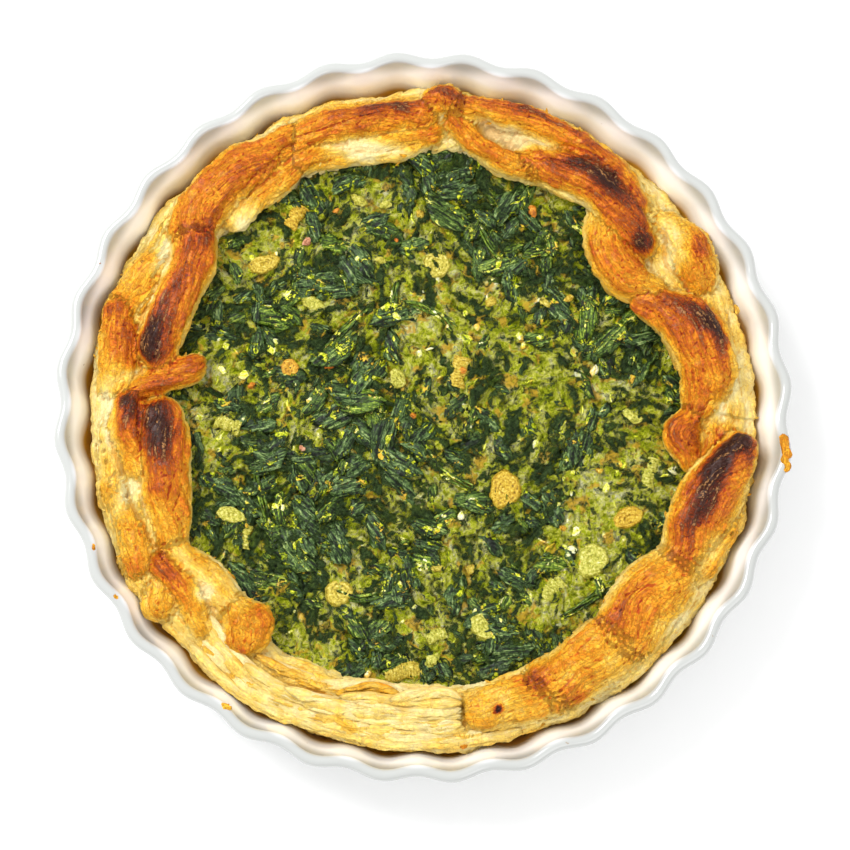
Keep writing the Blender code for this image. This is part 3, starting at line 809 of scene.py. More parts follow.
def make_crust(look):
    dough = Dough()
    add_band(dough)
    for number, rows in enumerate(FOLDS.values()):
        add_fold(dough, number, flat_rows(rows))
    crust = one_dough(dough)
    mesh = crust.data
    points, outwards = positions(mesh), normals(mesh)
    grain, bake, crest = grain_of(points, dough)
    fold_place = grain * [1, 1, 40 * MM]

    warp = pulls(points, 19 * MM, 11, 3) * [1.5, 1.5, 0.9] + pulls(points, 8 * MM, 21, 3) * [0.7, 0.7, 0.5]
    ridges = rough_patches(fold_place + warp * 0.7 * MM, [12 * MM, 2.4 * MM, 9 * MM], 3, 3)
    flakes = steps_of(0.5 + 0.5 * rough_patches(fold_place, [13 * MM, 6 * MM, 9 * MM], 3, 6), 5)
    crinkles = np.minimum(np.abs(rough_patches(points + warp * 0.8 * MM, 5.5 * MM, 3, 8)) * 4.5, 1)
    blisters = rough_patches(points, 2.4 * MM, 2, 4)
    raw = ramp(0.3 - bake, -0.1, 0.15)
    lift = 1.1 * ridges + (1.5 + 0.9 * raw) * (flakes - 0.5) + 0.6 * (crinkles - 0.7) + 0.2 * blisters
    pressed = pressed_depth(points + warp * 0.3 * MM)
    points = points + warp * MM + outwards * (lift * MM - pressed)[:, None]
    points[:, 2] = np.clip(points[:, 2], CRUST_BASE, CAD_BOX[1].z)
    move_to(mesh, points)

    hollow = hollowness(mesh, NARROW) / MM
    wide_hollow = hollowness(mesh, WIDE) / MM
    exposed = ramp(crest - points[:, 2], 9 * MM, 1.0 * MM) * ramp(points[:, 2], 31.5 * MM, 37.5 * MM)
    exposed *= 0.3 + 0.7 * ramp(outwards[:, 2], 0.1, 0.6)
    level = 0.06 + (bake - 0.06) * (0.12 + 0.88 * exposed)
    level += browned(points) * (0.3 + 0.7 * exposed)
    level += 0.16 * rough_patches(points, 10 * MM, 3, 5) - 0.12 * np.clip(wide_hollow, -1, 1)
    store(mesh, "bake", level)
    # The hollow is darkened by the pastry's colour as painted shade.
    store(mesh, "hollow", hollow)
    store(mesh, "grain", fold_place)
    mesh.materials.clear()
    mesh.materials.append(look)
    steep = ramp(-outwards[:, 2], -0.75, -0.2)
    store(mesh, "flake_share", steep * ramp(points[:, 2], 31 * MM, 33 * MM) * ramp(bake, 0.6, 0.3))
    store(mesh, "heading", np.arctan2(points[:, 1], points[:, 0]) + QUARTER_TURN)
    hand_over(crust, "baked_puff_pastry", "pastry_case")
    return mesh


# The cut layers along the front, each with its height, width and half its thickness in mm, how far it
# slopes down outwards in degrees, how far it is baked, and its route.
SHEETS = (
    (35.6, 3.2, .32, 22, .16,
     "-88 -87, -77 -98.5, -63 -109.5, -45 -116.5, -26 -121.5, -11 -124.8, 9 -124, 27 -121.8, 37 -119"),
    (36.8, 4.5, .38, 22, .1,
     "-85 -84, -76 -94.5, -62 -106, -45 -113.5, -27 -118.5, -12 -121.5, 6 -122, 22 -120.5"),
    (38.0, 4.5, .34, 20, .2,
     "-83 -79, -75 -91, -62 -103, -45 -110.5, -28 -115.5, -12 -118.5, 5 -119.5, 15.5 -119"),
    (39.1, 4.2, .38, 20, .08,
     "-80 -77, -73 -88.5, -60 -100.5, -45 -108.5, -29 -113, -14 -116, 0 -117.5, 14 -117"),
    (40.2, 4.2, .34, 20, .15, "-67 -95, -58 -101.5, -44 -108, -30 -111.5, -16 -114, 0 -115.5, 14 -114.5"),
    (41.0, 3.6, .3, 10, .1, "-52 -104, -42 -107.5, -30 -109.5, -18 -111, -6 -112.5, 4 -113, 14 -112"),
    (41.8, 3.4, .3, 8, .18, "-32 -107.5, -22 -107, -12 -108.5, -2 -109.5, 7 -110, 14 -109.5"),
    (42.6, 3.6, .3, 6, .12, "-13 -108.5, -5 -106.5, 4 -105, 10 -106, 14 -108.5"),
    (38.4, 2.6, .35, -14, .3,
     "-63 -91.5, -55 -95.5, -46 -100, -36 -104, -28 -104, -20 -102.8, -13 -104.5, -8 -107"),
    (37.6, 4.0, .3, -8, .1,
     "-60 -92.5, -50 -97.5, -38 -102, -28 -103, -20 -102, -12 -103.5, -4 -105.5, 6 -104"),
)


def make_sheets(look):
    """Thin wavy layers of pastry with torn outer edges, one over the other."""
    pieces = []
    for number, (height, width, half, slope, bake, rows) in enumerate(SHEETS):
        for layer, (drop, shift) in enumerate(((0, 0), (0.75, 0.9))):
            seed = 500 + 20 * number + 7 * layer
            stations = smooth_route(np.array(flat_rows(rows)) * MM, 0.9 * MM)
            outwards = right_of(stations)
            outwards *= np.sign(np.einsum("ij,ij->i", outwards, stations))[:, None]
            length = lengths_along(stations)
            flat = on_floor(stations)
            torn = rough_patches(flat, 4 * MM, 3, seed)
            wave = rough_patches(flat, 8 * MM, 2, seed + 1)
            taper = np.sqrt(np.clip(np.minimum(length, length[-1] - length) / (6 * MM), 0.02, 1))
            top = []
            for share in np.linspace(-0.5, 0.5, SHEET_COLUMNS):
                reach = share * width * taper * (1 + 0.3 * wave) + (share + 0.5) * 0.9 * torn + shift
                rise = 0.8 * wave + 0.5 * torn * (share + 0.2) - math.tan(math.radians(slope)) * reach - drop
                rise += 0.35 * np.sin(share * 9 + length / MM * 0.4)
                place = stations + outwards * (reach * MM)[:, None]
                top.append(np.column_stack([place, (height + rise) * MM]))
            top = np.array(top)
            edge = 1 - np.abs(np.linspace(-1, 1, SHEET_COLUMNS)) ** 3 * 0.6
            low = (top - np.array([0, 0, 2 * half * MM]) * edge[:, None, None])[::-1]
            rings = np.concatenate([top, low]).transpose(1, 0, 2)
            across = np.linspace(0, width, SHEET_COLUMNS) * MM
            across = np.concatenate([across, across[::-1]])
            grain = np.array([[(s, a, 40 * MM * number) for a in across] for s in length]).reshape(-1, 3)
            outward_share = np.tile(across, len(length)) / width / MM
            baked = bake - 0.06 + 0.1 * np.repeat(torn, len(across)) + 0.1 * (outward_share - 0.5)
            # Painted shade on the inner part of each layer, where the layer above lies over it, stored as its
            # hollow.
            overlap_shade = 0.2 * ramp(outward_share, 0.45, 0.1)
            faces = ring_faces(len(length), len(across), ends=("first", "last"))
            pieces.append((rings.reshape(-1, 3), faces, {"bake": baked, "hollow": overlap_shade, "grain": grain}))
    heap("flaky_layers", look, "baked_puff_pastry", pieces)


def heap(name, look, slot, pieces, *nodes):
    """Makes one mesh of closed pieces, each with its points, its faces and its named values."""
    points, faces, kept = [], [], {}
    start = 0
    for piece_points, piece_faces, values in pieces:
        faces += [tuple(int(start + i) for i in face) for face in piece_faces]
        points.append(piece_points)
        start += len(piece_points)
        for key, value in values.items():
            if np.ndim(value) == 0:
                value = np.full(len(piece_points), value)
            kept.setdefault(key, []).append(value)
    obj = new_object(name, np.vstack(points), faces, look)
    face_outwards(obj.data)
    for key, values in kept.items():
        store(obj.data, key, np.concatenate(values))
    hand_over(obj, slot, *nodes)


def crinkled_skin():
    """Node group: fine wrinkles and grains of baked dough. Puts out a height and thin crease lines for
    painted shade.
    """
    tree, given = new_group(
        "crinkled_skin", "ShaderNodeTree", {"Vector": "Vector", "Grain": "Vector"},
        {"Height": "Float", "Lines": "Float"},
    )
    strokes = strokes_of(given("Grain"), 0.13, 1.7 * MM, distortion=1.2)
    crumbs = grains(given("Vector"), 2.6 * MM, distortion=1.4)
    folds = grains(given("Vector"), 3.4 * MM, distortion=1.6)
    crease = maths("MINIMUM", abs(folds - 0.5), abs(strokes - 0.5) + 0.012)
    lines = mapped(crease, 0.0, 0.04, 1.0, 0.0)
    put_out(tree, {"Height": strokes * 0.6 + crumbs * 0.4 - lines * 0.16, "Lines": lines})
    return tree


def pastry_look(skin_group):
    """Puff pastry from raw cream over gold and orange to scorched brown, with fine flaky strokes."""
    look, tree, shader = new_look("baked_puff_pastry", 0.42, specular=0.22, coat=0.08, coat_roughness=0.22)
    bake = attribute(tree, "bake")
    hollow = attribute(tree, "hollow")
    height = put(tree, "ShaderNodeGroup", {
        "Vector": object_place(tree), "Grain": attribute(tree, "grain", "Vector"),
    }, "Height", node_tree=skin_group)
    lines = height.other("Lines")
    uneven = (height - 0.47) * mapped(bake, 0.05, 0.7, 0.3, 1.1)
    # Painted shade: hollows are pushed towards brown.
    hollow_shade = mapped(hollow, 0.02, 0.3) * 0.12
    tint = colour_ramp(bake + hollow_shade + uneven, """
        0 242 226 160, .14 242 210 106, .32 242 184 46, .46 236 154 20, .58 218 120 12,
        .69 184 80 8, .8 122 50 14, .9 84 36 14, 1 56 25 14
    """)
    # Painted shade: hollows and crease lines are darkened.
    crease_shade = maths("MAXIMUM", mapped(hollow, 0.05, 0.32), lines * 0.6)
    crease_shade = crease_shade * mapped(bake, 0.05, 0.45, 0.4, 0.95)
    tint = blended(crease_shade, tint, colour(208, 134, 48), "MULTIPLY")
    # Painted highlights: the raised grains of well-baked parts are lightened.
    ridge_highlights = mapped(height, 0.52, 0.62) * mapped(bake, 0.5, 0.8, 0.0, 0.4)
    tint = blended(ridge_highlights, tint, colour(232, 164, 92))
    join(tint, shader.inputs["Base Color"])
    join(mapped(bake, 0.2, 0.9, 0.55, 0.34), shader.inputs["Roughness"])
    bumped(shader, height, 2.1 * MM, mapped(bake, 0.05, 0.45, 0.7, 1.0))
    return look


def make_cup(look):
    """The plain lower part of the pastry, which lines the dish under the filling."""
    base = DISH_FLOOR / MM + 0.4
    cup = turned("pastry_cup", [
        (0, base), (104, base), (113, base), (117, base + 4), (121.6, 14), (123.6, 20),
        (125.6, CRUST_BASE / MM + 0.2), (123, CRUST_BASE / MM + 1.5), (112, CRUST_BASE / MM + 1),
        (107.4, 24), (104, base + 9), (99, base + 4), (0, base + 4),
    ], CUP_STEPS)
    cup.data.materials.append(look)
    settle(cup)
    face_outwards(cup.data)
    store(cup.data, "bake", np.full(len(cup.data.vertices), CUP_BAKE))
    store(cup.data, "grain", positions(cup.data))
    hand_over(cup, "baked_puff_pastry", "pastry_case")


# The filling

def filling_relief(points):
    """Height of the filling's lumps above its level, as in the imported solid."""
    wide_lump, small_lump, level_edge = 26 * MM, 11 * MM, 14 * MM
    relief = []
    for x, y in points[:, :2]:
        from_edge = FILLING_RADIUS - math.hypot(x, y - FILLING_CENTRE_Y)
        share = min(1.0, max(0.0, from_edge / level_edge))
        coarse = noise.noise(Vector((x / wide_lump, y / wide_lump, 4.1)))
        fine = noise.noise(Vector((x / small_lump, y / small_lump, 9.7)))
        crown = 0.8 * (1 - (math.hypot(x, y) / FILLING_RADIUS) ** 2)
        relief.append((crown + share * (1.1 * coarse + 0.9 * fine)) * MM)
    return np.array(relief)


# Where leaves lie thick and where custard shows: x, y, half length and half width in mm, turn in
# degrees, and how much is added to the share of leaves.
LEAFY = flat_rows("""
    8 99 16 10 0 .5, 22 82 14 9 -20 .35, 34 63 17 8 -52 .45, 62 62 18 12 -55 .4, 80 42 16 9 -60 .4,
    86 22 10 9 0 .3, -62 42 12 9 20 .3, -37 51 16 7 5 .4, -36 80 12 6 0 .2, -28 22 14 8 30 .25,
    -30 -3 16 10 0 .25, -66 -22 14 9 30 .25, -60 -42 20 12 -35 .4, -45 -62 18 8 -40 .45,
    -18 -73 9 8 0 .5, -15 -88 11 6 -10 .5, 30 -90 16 8 5 .5, -22 -21 9 5 0 .35, 38 -42 14 6 40 .3,
    58 -12 6 8 60 .3, 16 18 9 6 0 .2, 46 6 10 7 0 .15, -38 -30 14 9 -20 .3, 60 30 12 9 -50 .2,
    -19 84 8 5 0 -.5, -47 66 9 6 30 -.35, -82 14 8 16 0 -.3, -84 -25 6 14 0 -.25, 0 22 10 12 -60 -.4,
    -8 32 12 6 -30 -.4, 12 40 9 6 20 -.3, -28 -68 9 12 0 -.45, 8 -58 14 8 10 -.3, 72 -40 12 18 -25 -.5,
    62 -62 12 9 40 -.5, 50 -75 14 7 30 -.4, 0 -80 12 6 0 -.3, -8 -98 16 4 0 -.5, -38 -88 14 6 -20 -.3,
    45 12 18 10 -40 -.25, 60 -28 10 12 0 -.3, 30 -28 8 9 0 -.2, -60 58 12 5 20 -.2, 48 82 6 5 0 -.35,
    -4 62 10 8 0 -.25, 30 36 10 6 -30 -.2, 66 5 9 9 0 -.25
""")


def leafy_zones(points):
    """How much thicker than elsewhere the leaves lie at each point."""
    return oval_marks(points, LEAFY, 12 * MM, 3.5 * MM, 51, 0.8)


def flow(points):
    """The heading in which stems and torn leaves tend to lie, in radians: down to the right."""
    return -0.75 + 1.6 * patches(points, 38 * MM, 71) + 1.3 * patches(points, 15 * MM, 72)


def between_cells(field, x, y):
    """The field's value at places given in cells, blended from the four cells round each place."""
    x = np.clip(x, 0, field.shape[0] - 1.001)
    y = np.clip(y, 0, field.shape[1] - 1.001)
    i, j = x.astype(int), y.astype(int)
    u, v = x - i, y - j
    low = field[i, j] * (1 - u) + field[i + 1, j] * u
    high = field[i, j + 1] * (1 - u) + field[i + 1, j + 1] * u
    return low * (1 - v) + high * v


def strands(points, width, length, seed):
    """Streaks that follow the flow, about -1 to 1: chance values smeared along it."""
    cell = width / 2
    reach = FILLING_RADIUS + 6 * MM
    rows = np.arange(-reach, reach, cell)
    x, y = np.meshgrid(rows, rows + FILLING_CENTRE_Y, indexing="ij")
    heading = flow(on_floor(np.column_stack([x.ravel(), y.ravel()]))).reshape(x.shape)
    chance = np.random.default_rng(seed).normal(size=x.shape)
    chance = chance + np.roll(chance, 1, 0) + np.roll(chance, 1, 1) + np.roll(chance, (1, 1), (0, 1))
    total = np.zeros(len(points))
    for way in (1, -1):
        place_x = (points[:, 0] + reach) / cell
        place_y = (points[:, 1] - FILLING_CENTRE_Y + reach) / cell
        for _ in range(int(length / cell / 2)):
            total += between_cells(chance, place_x, place_y)
            turn = between_cells(heading, place_x, place_y)
            place_x = place_x + way * np.cos(turn)
            place_y = place_y + way * np.sin(turn)
    return np.clip(total / total.std() / 2, -1, 1)


def chopped(points, spacing, stretch, seed):
    """Tells for each point which chopped piece covers it.

    Puts out the number of the piece, the place inside it along and across the piece in metres, and
    how far the point is from the piece's edge, from 0 at the edge.
    """
    chance = np.random.default_rng(seed)
    reach = FILLING_RADIUS + 4 * MM
    count = int((2 * reach / spacing) ** 2)
    seeds = on_floor(chance.uniform(-reach, reach, (count, 2)) + [0, FILLING_CENTRE_Y])
    heading = flow(seeds) + chance.normal(0, 0.6, count)
    ahead = np.column_stack([np.cos(heading), np.sin(heading)])
    size = chance.uniform(0.7, 1.5, count) * spacing
    tree = point_tree(seeds)
    bent = points[:, :2] + pulls(points, spacing * 0.9, seed) * spacing * 0.35
    near = np.array([[found[1] for found in tree.find_n((x, y, 0), 6)] for x, y in bent])
    off = bent[:, None] - seeds[near, :2]
    along = np.einsum("ijk,ijk->ij", off, ahead[near])
    across = off[..., 1] * ahead[near][..., 0] - off[..., 0] * ahead[near][..., 1]
    gap = np.hypot(along / stretch, across * stretch) / size[near]
    order = np.argsort(gap, axis=1)
    rows = np.arange(len(points))
    best, second = order[:, 0], order[:, 1]
    edge = gap[rows, second] - gap[rows, best]
    return near[rows, best], along[rows, best], across[rows, best], edge


def by_piece(pieces, seed):
    """A number from -1 to 1 for each piece, the same for all its points."""
    zero = np.zeros_like(pieces)
    return 2 * steady_random(pieces, zero, zero, seed) - 1


def make_filling(look, spacing=0.62 * MM):
    """A closed disc with a fine top of chopped leaves and custard. Puts out a copy of its top alone."""
    reach = FILLING_RADIUS - 1 * MM
    steps = int(reach // spacing)
    rows = np.arange(-steps, steps + 1) * spacing
    x, y = np.meshgrid(rows, rows, indexing="ij")
    inside = np.hypot(x, y) < reach
    number = np.full(x.shape, -1)
    number[inside] = np.arange(inside.sum())
    points = on_floor(np.stack([x[inside], y[inside] + FILLING_CENTRE_Y], axis=1))
    corners = (number[:-1, :-1], number[1:, :-1], number[1:, 1:], number[:-1, 1:])
    faces = np.stack(corners, axis=-1).reshape(-1, 4)
    faces = faces[(faces >= 0).all(axis=1)]

    zones = leafy_zones(points)
    large, along, across, large_edge = chopped(points, 7 * MM, 1.5, 81)
    small, small_along, small_across, small_edge = chopped(points, 2.7 * MM, 1.4, 82)
    wide = strands(points, 3.0 * MM, 12 * MM, 91)
    fine = strands(points, 1.4 * MM, 7 * MM, 92)
    leaf = 0.49 + np.where(zones > 0, 0.6, 0.4) * zones
    leaf += 0.1 * by_piece(large, 1) + 0.08 * by_piece(small, 2) + 0.2 * wide + 0.22 * fine
    tone = 0.45 + 0.2 * by_piece(large, 3) + 0.3 * strands(points, 2.0 * MM, 9 * MM, 93)

    from_rim = reach - np.hypot(points[:, 0], points[:, 1] - FILLING_CENTRE_Y)
    lumps = 0.3 * by_piece(large, 5) + 0.15 * by_piece(small, 6) + 0.9 * wide + 0.7 * fine
    lumps += (by_piece(large, 7) * along + by_piece(large, 8) * across) / MM * 0.16
    lumps += (by_piece(small, 9) * small_along + by_piece(small, 10) * small_across) / MM * 0.22
    lumps -= 0.4 * (1 - ramp(large_edge, 0, 0.2)) + 0.2 * (1 - ramp(small_edge, 0, 0.25))
    lumps += 0.3 * np.sin(across / MM * 3.1 + 6 * by_piece(large, 11)) * ramp(leaf, 0.4, 0.7)
    lumps += 0.6 * rough_patches(points, 2.4 * MM, 3, 41) + 0.3
    points[:, 2] = FILLING_LEVEL + filling_relief(points) + ramp(from_rim, 0, 6 * MM) * lumps * MM

    filling = new_object("spinach_custard", points, faces.tolist(), look)
    inner = ramp(from_rim, 2 * MM, 3 * MM)
    torn = 0.3 * by_piece(large, 1)
    # The hollow is darkened by the material as painted shade.
    for name, values in {
        "leaf": leaf,
        "tone": tone,
        "hollow": ramp(hollowness(filling.data, NARROW) / MM, 0.02, 0.4),
        "heading": flow(points),
        "leaf_share": inner * np.clip(0.22 + 1.2 * zones + torn, 0.02, 1),
        "custard_share": inner * np.clip(0.4 - 1.1 * zones - torn, 0.05, 1),
        "grain": np.column_stack([along, across, by_piece(large, 12) * 50 * MM]),
    }.items():
        store(filling.data, name, values)
    top = filling.data.copy()
    shape = bmesh.new()
    shape.from_mesh(filling.data)
    loose = [v for v in shape.verts if not v.link_faces]
    bmesh.ops.delete(shape, geom=loose, context="VERTS")
    rim = [e for e in shape.edges if e.is_boundary]
    skirt = bmesh.ops.extrude_edge_only(shape, edges=rim)["geom"]
    low = [g for g in skirt if isinstance(g, bmesh.types.BMVert)]
    for v in low:
        v.co.z = FILLING_LOW.z
    bmesh.ops.holes_fill(shape, edges=[e for e in shape.edges if e.is_boundary], sides=0)
    bmesh.ops.recalc_face_normals(shape, faces=shape.faces)
    shape.to_mesh(filling.data)
    shape.free()
    hand_over(filling, "spinach_filling", "spinach_filling")
    return top


def closed_sheet(top, depth=0.5 * MM):
    """Points and faces of a sheet, given as a grid of points and closed by a skirt and a flat back."""
    columns, rows = top.shape[:2]
    index = np.arange(columns * rows).reshape(columns, rows)
    faces = [
        (index[i, j], index[i + 1, j], index[i + 1, j + 1], index[i, j + 1])
        for i in range(columns - 1) for j in range(rows - 1)
    ]
    loop = [*index[:, 0], *index[-1, 1:], *index[-2::-1, -1], *index[0, -2:0:-1]]
    low = top.reshape(-1, 3)[loop] - [0, 0, depth]
    start, count = columns * rows, len(loop)
    faces += [(loop[(i + 1) % count], loop[i], start + i, start + (i + 1) % count) for i in range(count)]
    faces.append(tuple(range(start + count - 1, start - 1, -1)))
    return np.vstack([top.reshape(-1, 3), low]), [tuple(int(i) for i in face) for face in faces]


def crumpled(seed, length, width, height, crumple, columns, rows):
    """A small crumpled sheet, strand or crumb lying along X, as a grid of points. Sizes in mm."""
    chance = np.random.default_rng(seed)
    u, v = np.meshgrid(np.linspace(-1, 1, columns), np.linspace(-1, 1, rows), indexing="ij")
    turn, phase = chance.uniform(0.3, 1.2), chance.uniform(0, 6.28, 4)
    taper = np.sqrt(np.clip(1.03 - u**2, 0.02, 1))
    ragged = 1 + 0.28 * chance.uniform(-1, 1, u.shape)
    x = u * length / 2 * (1 + 0.12 * chance.uniform(-1, 1, u.shape))
    y = v * width / 2 * taper * ragged + 0.1 * length * np.sin(1.7 * u + phase[0])
    wave = np.sin(2.6 * u * math.cos(turn) + 3.4 * v * math.sin(turn) + phase[1])
    wave += 0.6 * np.sin(5.1 * u + 2.2 * v + phase[2]) + 0.5 * np.sin(6.2 * v - 1.5 * u + phase[3])
    dome = 0.15 + 0.85 * (1 - v**2) * (1 - u**2)
    z = height * dome + crumple * (wave + 0.5 * chance.uniform(-1, 1, u.shape))
    return np.stack([x, y, z], axis=-1) * MM


def scraps(name, look, count, seed, length, width, height, crumple, grid, depth=0.5 * MM, **values):
    """Small crumpled pieces for strewing, sizes in mm.

    Length, width and each stored value are given for the first piece, with what each next one has more.
    """
    made = []
    for n in range(count):
        top = crumpled(seed + n, length[0] + length[1] * n, width[0] + width[1] * n, height, crumple, *grid)
        points, faces = closed_sheet(top, depth)
        piece = new_object(f"{name}_{n}", points, faces, look)
        store(piece.data, "grain", points)
        for key, (first, more) in values.items():
            store(piece.data, key, np.full(len(points), first + more * n))
        made.append(piece)
    return made


def laid(points, x, y, turn, lift, tilt=0.0):
    """Points of a piece made round the origin, laid on the filling at a place in mm."""
    place = Vector((x, y, 0)) * MM
    place.z = FILLING_LEVEL + filling_relief(np.array([place]))[0] + lift * MM
    move = Matrix.Translation(place) @ Matrix.Rotation(math.radians(turn), 4, "Z")
    move = np.array(move @ Matrix.Rotation(math.radians(tilt), 4, "X"))
    return points @ move[:3, :3].T + move[:3, 3]


def template_group(name, pieces):
    """Keeps the pieces in a collection that isn't shown, for scattering."""
    group = bpy.data.collections.new(name)
    for piece in pieces:
        bpy.context.scene.collection.objects.unlink(piece)
        group.objects.link(piece)
    return group


def scatter_tree(name, group, look):
    """Node tree that strews the group's pieces over a surface, turned to its heading."""
    numbers = ("Gap", "Share", "Smallest", "Largest", "Lift", "Tilt", "Turn")
    tree, given = shaping_group(name, numbers)

    def stored(label):
        return put(tree, "GeometryNodeInputNamedAttribute", {"Name": label}, data_type="FLOAT")

    def chance(low, high, seed):
        """A number for each piece. The node's own numbers are inputs 2 and 3 and output 1."""
        inputs = {2: low, 3: high, "Seed": seed}
        return put(tree, "FunctionNodeRandomValue", inputs, 1, data_type="FLOAT")

    spread = put(tree, "GeometryNodeDistributePointsOnFaces", {
        "Mesh": given("Geometry"), "Distance Min": given("Gap"), "Density Max": 1e6,
        "Density Factor": stored(name + "_share") * given("Share"), "Seed": 5,
    }, "Points", distribute_method="POISSON")
    turned_to = stored("heading") + chance(given("Turn") * -1.0, given("Turn"), 1)
    low_tilt = given("Tilt") * -1.0
    rotation = put(tree, "ShaderNodeCombineXYZ", {
        "X": chance(low_tilt, given("Tilt"), 2), "Y": chance(low_tilt, given("Tilt"), 3), "Z": turned_to,
    })
    lifted = put(tree, "ShaderNodeCombineXYZ", {"Z": given("Lift") * chance(0.2, 1.0, 4)})
    raised = put(tree, "GeometryNodeSetPosition", {"Geometry": spread, "Offset": lifted})
    pieces = put(tree, "GeometryNodeCollectionInfo", {
        "Collection": group, "Separate Children": True, "Reset Children": True,
    })
    laid_out = put(tree, "GeometryNodeInstanceOnPoints", {
        "Points": raised, "Instance": pieces, "Pick Instance": True, "Rotation": rotation,
        "Scale": chance(given("Smallest"), given("Largest"), 6),
    })
    put_out_shape(put(tree, "GeometryNodeStoreNamedAttribute", {
        "Geometry": laid_out, "Name": "tone", "Value": chance(0.0, 1.0, 7),
    }, data_type="FLOAT", domain="INSTANCE"), look)
    return tree


def scatter(name, surface, pieces, look, slot, **values):
    """Strews pieces over the surface and hands them over as one mesh."""
    obj = in_scene(name, surface.copy())
    strewn = obj.modifiers.new("strewn", "NODES")
    strewn.node_group = scatter_tree(name, template_group(name + "_scraps", pieces), look)
    set_inputs(strewn, **values)
    settle(obj)
    hand_over(obj, slot)


# Pieces that show one by one on the filling. Leaves: x, y, length, width, turn and tone. Bits of
# onion and browned custard: x, y, length, width and how far they are browned. Ribbed strips of leek:
# x, y, length, width, turn and warmth. All in mm and degrees.
LARGE_LEAVES = flat_rows("""
    -37.5 50.5 24 10 8 0.2, 57 -12.5 15 8 -80 0.25, 49.5 -34 16 9 -65 0.3, 30 -41.5 10 6 20 0.2,
    54.5 -53.5 11 5 -50 0.1, -26.5 -96 13 6 30 0.05, 1 -97.5 9 6 -70 0.05, -25 -20.5 12 8 30 0.15,
    -74 -33 10 5 40 0.02, -35 67.5 13 7 -10 0.95, 33.5 62.5 22 7 -58 0.4, -43 -39.5 20 10 -40 0.2,
    -31.5 -49 16 9 -60 0.25, -15 -85 14 9 -20 0.15, 30.5 -88 22 9 5 0.1, 11 93.5 18 8 10 0.1,
    52 44 16 8 -45 0.3, 82.5 44 13 7 -70 0.2, 68.5 -56.5 6 3 70 0.1, 8.5 102.5 6 4 10 0.7
""")
BITS = flat_rows("""
    -33.5 79.5 2.6 2 0.5, -10 68.5 2.4 2 0.6, -27 52.5 2.6 1.8 0.5, -53 41 2 2 0.6,
    -65.5 11.5 2.6 2.4 0.5, -36 19 3.6 2.4 0.55, -19.5 9.5 2 1.8 0.4, -4 0 2.4 2 0.5,
    53 -42.5 3 2 0.45, -44.5 68 5 3 0.9, -46 -12.5 2.6 2 0.95, 5.5 -58 5 3.4 0.2,
    18 -58.5 4 3 0.25, -24.5 84 7 3.6 0.12, -14.5 82 4.6 3.6 0.1, -1.5 78.5 3.6 3 0.3,
    -16.5 60 4.4 2.6 0.15, 25.5 44.5 4.6 3.6 0.25, 46.5 44 5 3 0.2, 55.5 45.5 4.4 3 0.3,
    -10.5 14.5 7.5 6 0.1, -42 43 9 5 0.1, 14.5 17.5 4 3.4 0.5, 80 14.5 5 3 0.4,
    80 0.5 8 4 0.02, 3.5 -93.5 7 4 0, 42 80 5 3 0.5, 67 -20.5 3 2 0.4
""")
LEEKS = flat_rows("""
    -48.5 77 10 5.5 55 0.9, 14 17 12 6.5 75 0.7, -74.5 -4 10 5.5 -20 0.3, -67 -46.5 9 4 80 0.35,
    -7.5 -98 14 6.5 8 0.6, 5 -84 8 4.5 20 0.1, 49 -66 10 6 40 0.15, 87 -22 13 5 75 0.05
""")
STEMS = (
    "21 75.5, 25.5 67.5, 30.5 61, 35.5 54",
    "-20 43.5, -27 36, -34 29, -41 20.5",
    "-8.5 44, -1 43, 5.5 39.5, 11.5 33.5",
    "-10 52, -11 46, -12 40",
    "-64 -20.5, -61 -31.5, -58 -43",
    "52 -77, 63.5 -69.5, 73 -64",
    "-1 -9, 6.5 -20.5, 18 -28",
    "-35.5 -66, -24 -69.5, -10.5 -66",
)

# Slices of spring onion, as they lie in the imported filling: x, y, length, width, turn, the number of
# their rings and their warmth.
ONIONS = flat_rows("""
    31 -28 15 12 80 4 .75, 5 58.5 11 10.5 0 4 .4, -32 -67.5 11 10 20 3 .5, -51 18.5 7.5 7 0 2 1,
    78 -38.5 13 8 25 3 .8, 64 -55 14 12 60 3 .15, 23.5 -80 13 10 -20 4 .2, -61 58.5 13 7 17 4 .6,
    -73 -38 12 6.5 -15 4 .25
""")


def make_leaves(surface, look):
    torn = scraps("leaf_scrap", look, 8, 300, (8, 1.0), (4.2, 0.4), 0.6, 0.34, (8, 5), leaf=(0.72, 0))
    scatter(
        "leaf", surface, torn, look, "spinach_filling", gap=3.4 * MM, share=0.42, smallest=0.5,
        largest=1.5, lift=0.3 * MM, tilt=0.22, turn=0.9,
    )
    pieces = []
    for number, (x, y, length, width, turn, tone) in enumerate(LARGE_LEAVES):
        top = crumpled(350 + number, length, width, 0.7, 0.42, 18, 10)
        points, faces = closed_sheet(top, 1.2 * MM)
        values = {"grain": points + [0.1 * number, 0, 0], "tone": tone, "leaf": 0.76}
        pieces.append((laid(points, x, y, turn, 0.55), faces, values))
    heap("large_leaves", look, "spinach_filling", pieces)


def make_custard_bits(surface, look):
    bits = scraps("crumb", look, 6, 400, (2.4, 0.4), (1.8, 0.3), 0.6, 0.16, (5, 5), leaf=(0.1, 0))
    bits += scraps("strand", look, 3, 420, (4, 1), (0.9, 0), 0.5, 0.12, (7, 3), leaf=(0.15, 0))
    scatter(
        "custard", surface, bits, look, "spinach_filling", gap=3.4 * MM, share=0.2, smallest=0.4,
        largest=1.2, lift=0.4 * MM, tilt=0.25, turn=1.5,
    )


def make_bits(look):
    pieces = []
    for number, (x, y, length, width, tone) in enumerate(BITS):
        top = crumpled(450 + number, length, width, 0.9, 0.14, 9, 7)
        points, faces = closed_sheet(top, 1 * MM)
        values = {"grain": points, "tone": tone, "rings": 0.0}
        pieces.append((laid(points, x, y, 67 * number, 0.75), faces, values))
    heap("onion_bits", look, "spinach_filling", pieces)


